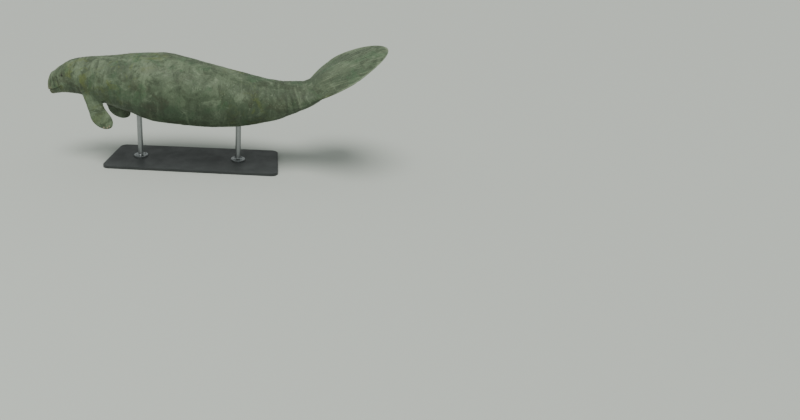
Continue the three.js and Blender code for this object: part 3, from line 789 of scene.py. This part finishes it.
# masks that the paint reads
top = np.clip(nrm[:, 2], -1, 1)
edge_share = np.clip(np.abs(np.cos(phi)) ** (2 / 2.15), 0, 1)
to_rim = np.minimum((1 - edge_share) * .36, (LENGTH - s) * 1.0)
# a painted highlight: a pale band just inside the paddle's rim
rim_painted_highlight = paddle * (bump(to_rim - .010, .0065) + .25 * bump(to_rim, .030)) * smooth((s - 2.45) / .1)
lips = on * np.exp(-((s - .045) / .05) ** 2) * smooth((.05 - v) / .05)
hide_obj = make_mesh("manatee_skin", co, faces, skin.uvs, {
    "lie": rest,
    "crease": np.clip(crease, 0, 1),
    "muzzle_zone": np.clip(lips, 0, 1),
    "paddle_zone": paddle,
    "fan": np.stack([s, fanned, 0 * s], -1),
    "rim": rim_painted_highlight,
    "updown": np.clip(.5 + .5 * top, 0, 1),
})
FLESH = ["muzzle", "lower_jaw", "head", "neck", "chest", "belly", "loins", "tail_stock", "tail_paddle", "flipper_left", "flipper_right"]


# ------------------------------------------------------------------ materials
class Paint:
    """Short forms for building one material's nodes."""

    def __init__(self, name):
        self.mat = bpy.data.materials.new(name)
        self.mat.use_nodes = True
        self.tree = self.mat.node_tree
        self.nodes, self.links = self.tree.nodes, self.tree.links
        self.bsdf = next(n for n in self.nodes if n.type == "BSDF_PRINCIPLED")

    def link(self, a, b):
        self.links.new(a, b)

    def put(self, socket, value):
        if isinstance(value, bpy.types.NodeSocket):
            self.links.new(value, socket)
        else:
            socket.default_value = value

    def attribute(self, name, vector=False):
        n = self.nodes.new("ShaderNodeAttribute")
        n.attribute_name = name
        return n.outputs["Vector" if vector else "Fac"]

    def where(self):
        n = self.nodes.new("ShaderNodeTexCoord")
        return n.outputs["Object"]

    def scaled(self, vector, scale):
        n = self.nodes.new("ShaderNodeVectorMath")
        n.operation = "MULTIPLY"
        self.put(n.inputs[0], vector)
        n.inputs[1].default_value = scale
        return n.outputs[0]

    def noise(self, vector, scale, detail=2.0, rough=.5, distortion=0.0):
        n = self.nodes.new("ShaderNodeTexNoise")
        self.put(n.inputs["Vector"], vector)
        n.inputs["Scale"].default_value = scale
        n.inputs["Detail"].default_value = detail
        n.inputs["Roughness"].default_value = rough
        n.inputs["Distortion"].default_value = distortion
        return n.outputs["Fac"]

    def voronoi(self, vector, scale, feature="F1", out="Distance", randomness=1.0):
        n = self.nodes.new("ShaderNodeTexVoronoi")
        n.feature = feature
        self.put(n.inputs["Vector"], vector)
        n.inputs["Scale"].default_value = scale
        n.inputs["Randomness"].default_value = randomness
        return n.outputs[out]

    def fit(self, value, a, b, c=0.0, d=1.0, smooth_step=True):
        n = self.nodes.new("ShaderNodeMapRange")
        n.interpolation_type = "SMOOTHSTEP" if smooth_step else "LINEAR"
        self.put(n.inputs["Value"], value)
        for key, x in zip(("From Min", "From Max", "To Min", "To Max"), (a, b, c, d)):
            n.inputs[key].default_value = x
        return n.outputs["Result"]

    def math(self, op, a, b=0.0, clamp=False):
        n = self.nodes.new("ShaderNodeMath")
        n.operation = op
        n.use_clamp = clamp
        self.put(n.inputs[0], a)
        self.put(n.inputs[1], b)
        return n.outputs[0]

    def mix(self, fac, a, b, blend="MIX"):
        n = self.nodes.new("ShaderNodeMix")
        n.data_type = "RGBA"
        n.blend_type = blend
        self.put(n.inputs[0], fac)
        self.put(n.inputs[6], a)
        self.put(n.inputs[7], b)
        return n.outputs[2]

    def bump(self, height, strength, distance, normal=None):
        n = self.nodes.new("ShaderNodeBump")
        n.inputs["Strength"].default_value = strength
        n.inputs["Distance"].default_value = distance
        self.put(n.inputs["Height"], height)
        if normal is not None:
            self.put(n.inputs["Normal"], normal)
        return n.outputs[0]


def linear(hex_colour, alpha=1.0):
    c = [int(hex_colour[i:i + 2], 16) / 255 for i in (1, 3, 5)]
    return tuple(x / 12.92 if x <= .04045 else ((x + .055) / 1.055) ** 2.4 for x in c) + (alpha,)


def paint_hide():
    p = Paint("manatee_hide")
    at, lie = p.where(), p.attribute("lie", True)
    crease_, muz, ud = p.attribute("crease"), p.attribute("muzzle_zone"), p.attribute("updown")
    # rim carries the painted highlight along the paddle's edge
    rim, fan = p.attribute("rim"), p.attribute("fan", True)
    # grey-brown hide under an olive film
    broad = p.noise(at, 2.3, 4, .55, .5)
    mottle = p.noise(at, 8.5, 7, .66, .8)
    fleck = p.noise(at, 27.0, 6, .68, .5)
    colour = p.mix(p.fit(broad, .38, .62), linear("#56614a"), linear("#7b866a"))
    colour = p.mix(p.fit(mottle, .50, .40, 0, .70), colour, linear("#444e38"))
    colour = p.mix(p.fit(mottle, .53, .66, 0, .70), colour, linear("#8b957a"))
    # brown stain, mostly low on the flanks
    stain = p.noise(at, 4.6, 7, .68, 1.3)
    # how far each point faces down, for the painted shade on the underside
    painted_underside_shade = p.fit(ud, .26, .60, 1, 0)
    colour = p.mix(p.math("MULTIPLY", p.fit(stain, .50, .60, 0, .72), p.fit(ud, .25, .85, 1, .35)), colour, linear("#4a4634"))
    # yellow-olive algae in patches, with ragged edges
    algae = p.noise(at, 6.1, 9, .74, .9)
    patch = p.noise(at, 1.7, 2, .5)
    colour = p.mix(p.math("MULTIPLY", p.fit(algae, .51, .60, 0, .78), p.fit(patch, .44, .58)), colour, linear("#737a41"))
    green = p.noise(at, 3.9, 8, .70, .6)
    colour = p.mix(p.fit(green, .51, .62, 0, .60), colour, linear("#4f6b4a"))
    # fine flecks, dark and pale
    colour = p.mix(p.fit(fleck, .44, .34, 0, .55), colour, linear("#3a4230"))
    colour = p.mix(p.fit(fleck, .58, .70, 0, .50), colour, linear("#98a085"))
    # painted shade: the downward-facing underside darker, as under the body's own shadow
    colour = p.mix(p.math("MULTIPLY", painted_underside_shade, .50), colour, linear("#434d3c"))
    # streaks that run round the body
    streak = p.noise(p.scaled(lie, (24, 3.0, 3.0)), 1.0, 5, .62)
    colour = p.mix(p.fit(streak, .56, .74, 0, .34), colour, linear("#949b80"))
    colour = p.mix(p.fit(streak, .43, .28, 0, .38), colour, linear("#3d4635"))
    # healed scratches, and a faint net of painted light like the rippling light through the water: thin, pale, curved
    # and broken
    warp = p.nodes.new("ShaderNodeTexNoise")
    p.put(warp.inputs["Vector"], lie)
    warp.inputs["Scale"].default_value = 5.0
    warp.inputs["Detail"].default_value = 2.0
    bent = p.nodes.new("ShaderNodeVectorMath")
    bent.operation = "MULTIPLY_ADD"
    p.put(bent.inputs[0], warp.outputs["Color"])
    bent.inputs[1].default_value = (1.6, 1.6, 1.6)
    p.put(bent.inputs[2], p.scaled(lie, (6.5, 10.0, 10.0)))
    line = p.voronoi(bent.outputs[0], 1.0, "DISTANCE_TO_EDGE")
    broken = p.noise(at, 8.0, 3, .55)
    scar_and_caustic_light = p.math("MULTIPLY", p.fit(line, .013, .003), p.fit(broken, .56, .66))
    # pale lines: partly scars, partly painted light
    colour = p.mix(p.math("MULTIPLY", scar_and_caustic_light, .34), colour, linear("#a6ab92"))
    # small pale spots
    spot = p.voronoi(at, 46, "F1")
    pick = p.noise(at, 14, 2, .5)
    colour = p.mix(p.math("MULTIPLY", p.fit(spot, .20, .07), p.fit(pick, .60, .68, 0, .55)), colour, linear("#a3a88e"))
    grain = p.noise(at, 190, 4, .7)
    colour = p.mix(p.fit(grain, .30, .72, 0, 1), p.mix(.30, colour, linear("#2a3025")), colour)
    # muzzle: greyer and a little warmer
    colour = p.mix(p.math("MULTIPLY", muz, .50), colour, linear("#656355"))
    # paddle: streaks that fan out towards the rim, and a painted highlight along the rim
    rays = p.noise(p.scaled(fan, (2.6, 26.0, 1.0)), 1.0, 5, .62)
    fine_rays = p.noise(p.scaled(fan, (5.0, 62.0, 1.0)), 1.0, 4, .6)
    on_fin = p.attribute("paddle_zone")
    colour = p.mix(p.math("MULTIPLY", p.fit(rays, .53, .70, 0, .42), on_fin), colour, linear("#9aa183"))
    colour = p.mix(p.math("MULTIPLY", p.fit(rays, .47, .32, 0, .52), on_fin), colour, linear("#3f4a38"))
    colour = p.mix(p.math("MULTIPLY", p.fit(fine_rays, .54, .70, 0, .45), on_fin), colour, linear("#a3a98b"))
    colour = p.mix(p.math("MULTIPLY", p.fit(fine_rays, .46, .32, 0, .45), on_fin), colour, linear("#465040"))
    # painted highlight along the paddle's rim
    colour = p.mix(p.math("MULTIPLY", rim, .45), colour, linear("#a4ab90"))
    # dirt in the fine cracks, and dirt and shade in the folds
    shaky = p.nodes.new("ShaderNodeTexNoise")
    p.put(shaky.inputs["Vector"], lie)
    shaky.inputs["Scale"].default_value = 34.0
    shaky.inputs["Detail"].default_value = 3.0
    net = p.nodes.new("ShaderNodeVectorMath")
    net.operation = "MULTIPLY_ADD"
    p.put(net.inputs[0], shaky.outputs["Color"])
    net.inputs[1].default_value = (1.5, 1.5, 1.5)
    p.put(net.inputs[2], p.scaled(lie, (150, 52, 52)))
    crack = p.voronoi(net.outputs[0], 1.0, "DISTANCE_TO_EDGE")
    colour = p.mix(p.math("MULTIPLY", p.fit(crack, .12, .0), .16), colour, linear("#2c3226"))
    colour = p.mix(p.math("MULTIPLY", crease_, .66), colour, linear("#26291f"))
    colour = p.mix(1.0, colour, (.955, 1.045, 1.03, 1), "MULTIPLY")  # painted green cast of the light through the water makes all of it a little greener
    p.put(p.bsdf.inputs["Base Color"], colour)
    rough = p.fit(p.noise(at, 60, 5, .65), .3, .7, .50, .72)
    p.put(p.bsdf.inputs["Roughness"], rough)
    p.bsdf.inputs["Specular IOR Level"].default_value = .42
    # skin relief: fine cracked grain, closer wrinkles across the body
    cells = p.voronoi(at, 150, "F1")
    wrinkle = p.noise(p.scaled(lie, (120, 34, 34)), 1.0, 6, .62)
    coarse = p.noise(p.scaled(lie, (44, 12, 12)), 1.0, 5, .6)
    b = p.bump(coarse, .80, .0070)
    b = p.bump(p.fit(crack, 0, .20, 0, 1), .45, .0010, b)
    b = p.bump(wrinkle, .90, .0032, b)
    b = p.bump(cells, .60, .0012, b)
    b = p.bump(grain, .45, .0007, b)
    p.put(p.bsdf.inputs["Normal"], b)
    return p.mat


HIDE = paint_hide()
hide_obj.data.materials.append(HIDE)
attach(hide_obj, "root")
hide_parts(*FLESH)


def paint_eye():
    p = Paint("manatee_eye")
    look = p.attribute("look")
    at = p.where()
    colour = p.mix(p.fit(look, .70, .80), linear("#1d1712"), linear("#33241a"))
    fibre = p.noise(at, 900, 3, .6)
    colour = p.mix(p.fit(fibre, .4, .7, 0, .45), colour, linear("#1c130d"))
    colour = p.mix(p.fit(look, .900, .925), colour, linear("#050404"))
    p.put(p.bsdf.inputs["Base Color"], colour)
    p.put(p.bsdf.inputs["Roughness"], p.fit(p.noise(at, 300, 2, .5), .3, .7, .06, .12))
    p.bsdf.inputs["Specular IOR Level"].default_value = .40
    p.put(p.bsdf.inputs["Normal"], p.bump(p.noise(at, 500, 2, .5), .05, .0001))
    return p.mat


EYE_PAINT = paint_eye()
for side, word in SIDES:
    e = eyes[side]
    gaze = unit(e["normal"] + np.array([-.15, 0, .02]))
    q = Vector((0, 0, 1)).rotation_difference(Vector(gaze))
    rows, cols = 24, 40
    R = EYE_R - .0003
    pts, fcs, uvs, look = [], [], [], []
    for i in range(rows + 1):
        for j in range(cols):
            a, b = math.pi * i / rows, 2 * math.pi * j / cols
            d = Vector((math.sin(a) * math.cos(b), math.sin(a) * math.sin(b), math.cos(a)))
            look.append(d.z)
            pts.append(Vector(e["ball"]) + (q @ d) * R)
    for i in range(rows):
        for j in range(cols):
            k = (j + 1) % cols
            f = [i * cols + j, (i + 1) * cols + j, (i + 1) * cols + k, i * cols + k]
            w = [(j / cols, i / rows), (j / cols, (i + 1) / rows), ((j + 1) / cols, (i + 1) / rows), ((j + 1) / cols, i / rows)]
            if i == 0:
                f, w = [0, f[1], f[2]], w[:3]
            elif i == rows - 1:
                f, w = [f[0], rows * cols, f[3]], [w[0], w[1], w[3]]
            fcs.append(tuple(f))
            uvs.append(w)
    seen = sorted({v for f in fcs for v in f})
    back_to = {v: k for k, v in enumerate(seen)}
    ob = make_mesh("eyeball_" + word, [pts[v] for v in seen], [tuple(back_to[v] for v in f) for f in fcs], uvs, {"look": np.array([look[v] for v in seen])})
    ob.data.materials.append(EYE_PAINT)
    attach(ob, "root")
    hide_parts("eye_" + word)


# ------------------------------------------------------------------ nails
def paint_nail():
    p = Paint("nail_horn")
    at = p.where()
    colour = p.mix(p.fit(p.noise(at, 160, 5, .6), .35, .65), linear("#6e6955"), linear("#8d866d"))
    colour = p.mix(p.fit(p.noise(at, 700, 3, .6), .5, .7, 0, .5), colour, linear("#4e4a3a"))
    p.put(p.bsdf.inputs["Base Color"], colour)
    p.put(p.bsdf.inputs["Roughness"], p.fit(p.noise(at, 400, 3, .6), .3, .7, .38, .58))
    p.put(p.bsdf.inputs["Normal"], p.bump(p.noise(at, 900, 4, .6), .4, .0003))
    return p.mat


NAIL_PAINT = paint_nail()
for side, word in SIDES:
    axis, chord, outward, root = flipper_frame(side)
    for i, (t, across) in enumerate([(.955, -.5), (.978, .02), (.955, .52)]):
        at = flipper(side, t, math.acos(across), 0)
        inner = flipper(side, t - .12, math.acos(across * .86), 0)
        along = at - inner
        along = unit(along - outward * along.dot(outward))
        width = unit(np.cross(outward, along))
        lift = np.cross(along, width)
        centre = at - along * NAIL_L * .22
        rows, cols = 14, 22
        pts, fcs, uvs = [], [], []
        for a in range(rows + 1):
            for b in range(cols):
                u, w = math.pi * a / rows, 2 * math.pi * b / cols
                # an oval shield, squarer than an ellipsoid and ridged a little along its length
                ex = math.cos(u)
                ring = math.sin(u) ** .8
                cy, cz = math.cos(w), math.sin(w)
                k = 1 + .03 * math.cos(cy * 18)
                pts.append(centre + along * (NAIL_L / 2) * ex * .97 + width * (NAIL_W / 2) * ring * math.copysign(abs(cy) ** .85, cy) * .96 + lift * NAIL_H * ring * cz * .95 * k * (.78 + .22 * ex))
        for a in range(rows):
            for b in range(cols):
                c = (b + 1) % cols
                f = [a * cols + b, (a + 1) * cols + b, (a + 1) * cols + c, a * cols + c]
                w = [(b / cols, a / rows), (b / cols, (a + 1) / rows), ((b + 1) / cols, (a + 1) / rows), ((b + 1) / cols, a / rows)]
                if a == 0:
                    f, w = [0, f[1], f[2]], w[:3]
                elif a == rows - 1:
                    f, w = [f[0], rows * cols, f[3]], [w[0], w[1], w[3]]
                fcs.append(tuple(f))
                uvs.append(w)
        seen = sorted({v for f in fcs for v in f})
        back_to = {v: k for k, v in enumerate(seen)}
        pts = np.array([pts[v] for v in seen])
        fcs = [tuple(back_to[v] for v in f) for f in fcs]
        a, b, c = (pts[[f[k] for f in fcs]] for k in range(3))
        if np.sum(a * np.cross(b, c)) - np.sum(np.cross(b - a, c - a) @ pts.mean(0)) / 1 < 0:
            fcs = [f[::-1] for f in fcs]
            uvs = [w[::-1] for w in uvs]
        ob = make_mesh("horn_nail_%s_%d" % (word, i + 1), pts, fcs, uvs)
        ob.data.materials.append(NAIL_PAINT)
        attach(ob, "root")
        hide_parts("nail_%s_%d" % (word, i + 1))


# ------------------------------------------------------------------ bristles and sparse hairs
rng = np.random.default_rng(20417)
vert_uv = np.zeros((len(co), 2))
for f, w in zip(faces, skin.uvs):
    for vtx, c in zip(f, w):
        vert_uv[vtx] = c
flow = unit(np.array([.55, 0, -.83]))  # hairs lie back and down


def hairs(name, roots, length, thick, lean, segments, sides, mat, jitter=.35):
    """Joined tapering hairs. Each is mapped to a small patch at its root's place on the skin's map."""
    pts, fcs, uvs = [], [], []
    for vtx in roots:
        n = nrm[vtx]
        p0 = co[vtx] - n * .0008
        ln = length * (.65 + .7 * rng.random())
        side_dir = unit(rng.normal(size=3))
        d = flow if lean >= 0 else -flow
        tang = unit(d - n * d.dot(n) + 1e-6 + jitter * (side_dir - n * side_dir.dot(n)))
        amount = abs(lean) * (.75 + .5 * rng.random())
        e1 = unit(np.cross(n, tang))
        k0 = len(pts)
        u0, v0 = vert_uv[vtx]
        for g in range(segments):
            f = g / segments
            centre = p0 + n * ln * (f - .45 * amount * f * f) + tang * ln * amount * f * f * .9 + tang * ln * .35 * amount * f
            rad = thick * (1 - .75 * f)
            fwd = unit(n * (1 - .9 * amount * f) + tang * (amount * 1.8 * f + .35 * amount))
            e2 = unit(np.cross(fwd, e1))
            for q in range(sides):
                a = 2 * math.pi * q / sides
                pts.append(centre + (e1 * math.cos(a) + e2 * math.sin(a)) * rad)
        pts.append(p0 + n * ln * (1 - .45 * amount) + tang * ln * amount * 1.25)
        def uv_at(g, q):
            return (min(max(u0 + .003 * (q / sides - .5), 0), 1), min(max(v0 + .003 * (g / segments - .5), 0), 1))
        for g in range(segments - 1):
            for q in range(sides):
                r = (q + 1) % sides
                fcs.append((k0 + g * sides + q, k0 + g * sides + r, k0 + (g + 1) * sides + r, k0 + (g + 1) * sides + q))
                uvs.append((uv_at(g, q), uv_at(g, q + 1), uv_at(g + 1, q + 1), uv_at(g + 1, q)))
        g = segments - 1
        for q in range(sides):
            r = (q + 1) % sides
            fcs.append((k0 + g * sides + q, k0 + g * sides + r, k0 + segments * sides))
            uvs.append((uv_at(g, q), uv_at(g, q + 1), uv_at(segments, q + .5)))
        fcs.append(tuple(k0 + q for q in reversed(range(sides))))
        uvs.append(tuple(uv_at(0, q) for q in reversed(range(sides))))
    ob = make_mesh(name, pts, fcs, uvs)
    ob.data.materials.append(mat)
    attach(ob, "root")
    return ob


def paint_bristle(name, a, b):
    p = Paint(name)
    at = p.where()
    p.put(p.bsdf.inputs["Base Color"], p.mix(p.fit(p.noise(at, 120, 3, .6), .35, .65), linear(a), linear(b)))
    p.put(p.bsdf.inputs["Roughness"], p.fit(p.noise(at, 300, 2, .5), .3, .7, .42, .60))
    p.put(p.bsdf.inputs["Normal"], p.bump(p.noise(at, 2000, 2, .5), .2, .0001))
    return p.mat


def scatter(weight, count, apart):
    """Up to count skin points, likelier where weight is high, none closer together than apart."""
    idx = np.nonzero(weight > .02)[0]
    w = weight[idx] / weight[idx].sum()
    order = rng.choice(idx, size=min(len(idx), count * 6), replace=False, p=w)
    cell = {}
    picked = []
    for k in order:
        key = tuple(np.floor(co[k] / apart).astype(int))
        if any(np.linalg.norm(co[k] - co[m]) < apart for dx in (-1, 0, 1) for dy in (-1, 0, 1) for dz in (-1, 0, 1) for m in cell.get((key[0] + dx, key[1] + dy, key[2] + dz), ())):
            continue
        cell.setdefault(key, []).append(k)
        picked.append(k)
        if len(picked) >= count:
            break
    return picked


clear = (crease < .45) & (kind == 0)
pads = clear * on * np.exp(-((np.abs(y) - .055) / .045) ** 2) * np.exp(-((v + .012) / .040) ** 2) * (1 - smooth((s - .085) / .03)) * (hh > .003)
chin = clear * on * (1 - smooth((s - .085) / .02)) * smooth(-hh / .01) * (1 - smooth((-hh - .030) / .015)) * .8
BRISTLE = paint_bristle("muzzle_bristle", "#7b735a", "#a39a7f")
hairs("muzzle_bristles", scatter(pads, 460, .0052), .0062, .00042, .95, 3, 4, BRISTLE)
hairs("chin_bristles", scatter(chin, 260, .0052), .0052, .00040, .95, 3, 4, BRISTLE)
snout_area = clear * on * (1 - smooth((s - .22) / .08)) * (pads < .1)
HAIR = paint_bristle("body_hair", "#6f6a52", "#8d866a")
hairs("face_hairs", scatter(snout_area, 420, .011), .0090, .00022, 1.0, 3, 3, HAIR)
body_area = (clear & is_body & (s > .30) & (s < 2.35)).astype(float)
hairs("body_hairs", scatter(body_area, 1300, .030), .0170, .00022, 1.15, 4, 3, HAIR)


# ------------------------------------------------------------------ stand
def paint_base():
    p = Paint("stand_paint")
    at = p.where()
    colour = p.mix(p.fit(p.noise(at, 3.0, 4, .6), .35, .65), linear("#2f3232"), linear("#383b3b"))
    colour = p.mix(p.fit(p.noise(at, 240, 3, .6), .55, .75, 0, .35), colour, linear("#4b4e4e"))
    p.put(p.bsdf.inputs["Base Color"], colour)
    p.put(p.bsdf.inputs["Roughness"], p.fit(p.noise(at, 7, 5, .6), .3, .7, .42, .56))
    p.put(p.bsdf.inputs["Normal"], p.bump(p.noise(at, 420, 3, .6), .18, .0005))
    return p.mat


def paint_steel():
    p = Paint("stand_steel")
    at = p.where()
    brush = p.noise(p.scaled(at, (900, 900, 14)), 1.0, 4, .6)
    p.put(p.bsdf.inputs["Base Color"], p.mix(p.fit(brush, .3, .7), linear("#8b8e90"), linear("#b2b5b6")))
    p.bsdf.inputs["Metallic"].default_value = 1.0
    p.put(p.bsdf.inputs["Roughness"], p.fit(brush, .3, .7, .26, .40))
    p.put(p.bsdf.inputs["Normal"], p.bump(brush, .12, .0003))
    return p.mat


BASE_PAINT, STEEL = paint_base(), paint_steel()
base_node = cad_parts["stand_base"]
base_node.data.materials.clear()
base_node.data.materials.append(BASE_PAINT)


def lathe(name, profile, centre, mat, cols=64):
    rows = len(profile)
    pts, fcs, uvs = [], [], []
    lengths = [0]
    for a, b in zip(profile, profile[1:]):
        lengths.append(lengths[-1] + math.dist(a, b))
    for r, z in profile:
        for j in range(cols):
            a = 2 * math.pi * j / cols
            pts.append((centre[0] + max(r, 0) * math.cos(a), centre[1] + max(r, 0) * math.sin(a), centre[2] + z))
    for i in range(rows - 1):
        for j in range(cols):
            k = (j + 1) % cols
            fcs.append((i * cols + j, i * cols + k, (i + 1) * cols + k, (i + 1) * cols + j))
            v0, v1 = lengths[i] / lengths[-1], lengths[i + 1] / lengths[-1]
            uvs.append(((j / cols, v0), ((j + 1) / cols, v0), ((j + 1) / cols, v1), (j / cols, v1)))
    for ring, z, flip in ((0, profile[0][1], True), (rows - 1, profile[-1][1], False)):
        m = len(pts)
        pts.append((centre[0], centre[1], centre[2] + z))
        for j in range(cols):
            k = (j + 1) % cols
            f = (ring * cols + j, ring * cols + k, m)
            w = ((j / cols, ring / rows), ((j + 1) / cols, ring / rows), ((j + .5) / cols, ring / rows))
            fcs.append(f[::-1] if flip else f)
            uvs.append(w[::-1] if flip else w)
    ob = make_mesh(name, pts, fcs, uvs)
    ob.data.set_sharp_from_angle(angle=math.radians(32))
    ob.data.materials.append(mat)
    return ob


belly_line = body(S, np.full(NI, -np.pi / 2))
for x, word in zip(ROD_X, ("front", "rear")):
    z0 = BASE_H + .0004
    top = float(np.interp(x, belly_line[:, 0], belly_line[:, 2])) + .030
    c = .0012
    profile = [(FLANGE_R - .0008, 0), (FLANGE_R, .0008), (FLANGE_R, FLANGE_H - .003), (FLANGE_R - .0009, FLANGE_H - .0009), (FLANGE_R - .003, FLANGE_H),
               (ROD_R + .009, FLANGE_H), (ROD_R + .0052, FLANGE_H + .0012), (ROD_R + .0022, FLANGE_H + .0036), (ROD_R + .0006, FLANGE_H + .0064), (ROD_R - .0001, FLANGE_H + .010), (ROD_R - .0001, top - z0)]
    rod = lathe("steel_rod_" + word, profile, (x, 0, z0), STEEL)
    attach(rod, "root")
    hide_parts("stand_rod_" + word)
    for k in range(4):
        a = math.pi / 4 + k * math.pi / 2
        r0 = (ROD_R + FLANGE_R) / 2 + .0015
        head = [(.0042, 0), (.0052, .0002), (.0058, .0006), (.0060, .0012), (.0058, .0022), (.0048, .0032), (.0034, .0036), (.0030, .0035), (.0028, .0016), (.0012, .0013), (.0002, .0012)]
        bolt = lathe("flange_screw_%s_%d" % (word, k + 1), head, (x + r0 * math.cos(a), r0 * math.sin(a), z0 + FLANGE_H - .0001), STEEL, 28)
        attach(bolt, "root")

# ------------------------------------------------------------------ floor, light, camera
floor_me = bpy.data.meshes.new("floor")
floor_me.from_pydata([(-300, -120, 0), (300, -120, 0), (300, 400, 0), (-300, 400, 0)], [], [(0, 1, 2, 3)])
floor = bpy.data.objects.new("floor", floor_me)
bpy.context.scene.collection.objects.link(floor)
fp = Paint("pale_floor")
fp.bsdf.inputs["Base Color"].default_value = linear("#c6cac4")
fp.bsdf.inputs["Roughness"].default_value = .9
fp.bsdf.inputs["Specular IOR Level"].default_value = .1
floor_me.materials.append(fp.mat)

world = bpy.data.worlds.new("studio")
world.use_nodes = True
bpy.context.scene.world = world
bg = world.node_tree.nodes["Background"]
bg.inputs["Color"].default_value = (.84, .90, .87, 1)
bg.inputs["Strength"].default_value = .50


def area(name, at, aim, size, watts, colour=(1, 1, 1)):
    light = bpy.data.lights.new(name, "AREA")
    light.shape = "RECTANGLE"
    light.size, light.size_y = size
    light.energy = watts
    light.color = colour
    ob = bpy.data.objects.new(name, light)
    ob.location = at
    ob.rotation_mode = "QUATERNION"
    ob.rotation_quaternion = (Vector(aim) - Vector(at)).to_track_quat("-Z", "Y")
    ob.visible_glossy = False
    bpy.context.scene.collection.objects.link(ob)
    return ob


sun = bpy.data.lights.new("soft_key", "SUN")
sun.energy = 2.3
sun.angle = math.radians(36)
sun.color = (1.0, 1.0, .96)
sun_ob = bpy.data.objects.new("soft_key", sun)
sun_ob.rotation_mode = "QUATERNION"
sun_ob.rotation_quaternion = Vector((.12, .34, -1)).to_track_quat("-Z", "Y")
bpy.context.scene.collection.objects.link(sun_ob)
area("front_fill", (-1.4, -5.0, 2.2), (0, 0, .6), (3.4, 2.2), 34, (.95, 1.0, .97))

cam_data = bpy.data.cameras.new("camera")
camera = bpy.data.objects.new("camera", cam_data)
bpy.context.scene.collection.objects.link(camera)
bpy.context.scene.camera = camera
FRAME_W, FRAME_H, FOCAL_PX = 800, 420, 450
CENTRE_PX = (219, 108)
cam_data.sensor_fit = "HORIZONTAL"
cam_data.sensor_width = 36
cam_data.lens = FOCAL_PX / FRAME_W * 36
cam_data.shift_x = (FRAME_W / 2 - CENTRE_PX[0]) / FRAME_W
cam_data.shift_y = (CENTRE_PX[1] - FRAME_H / 2) / FRAME_W
cam_data.clip_end = 200
az, down = math.radians(7), math.radians(14.7)
camera.location = (.68785, -3.72079, 1.47369)
camera.rotation_mode = "QUATERNION"
camera.rotation_quaternion = Vector((-math.sin(az) * math.cos(down), math.cos(az) * math.cos(down), -math.sin(down))).to_track_quat("-Z", "Y")
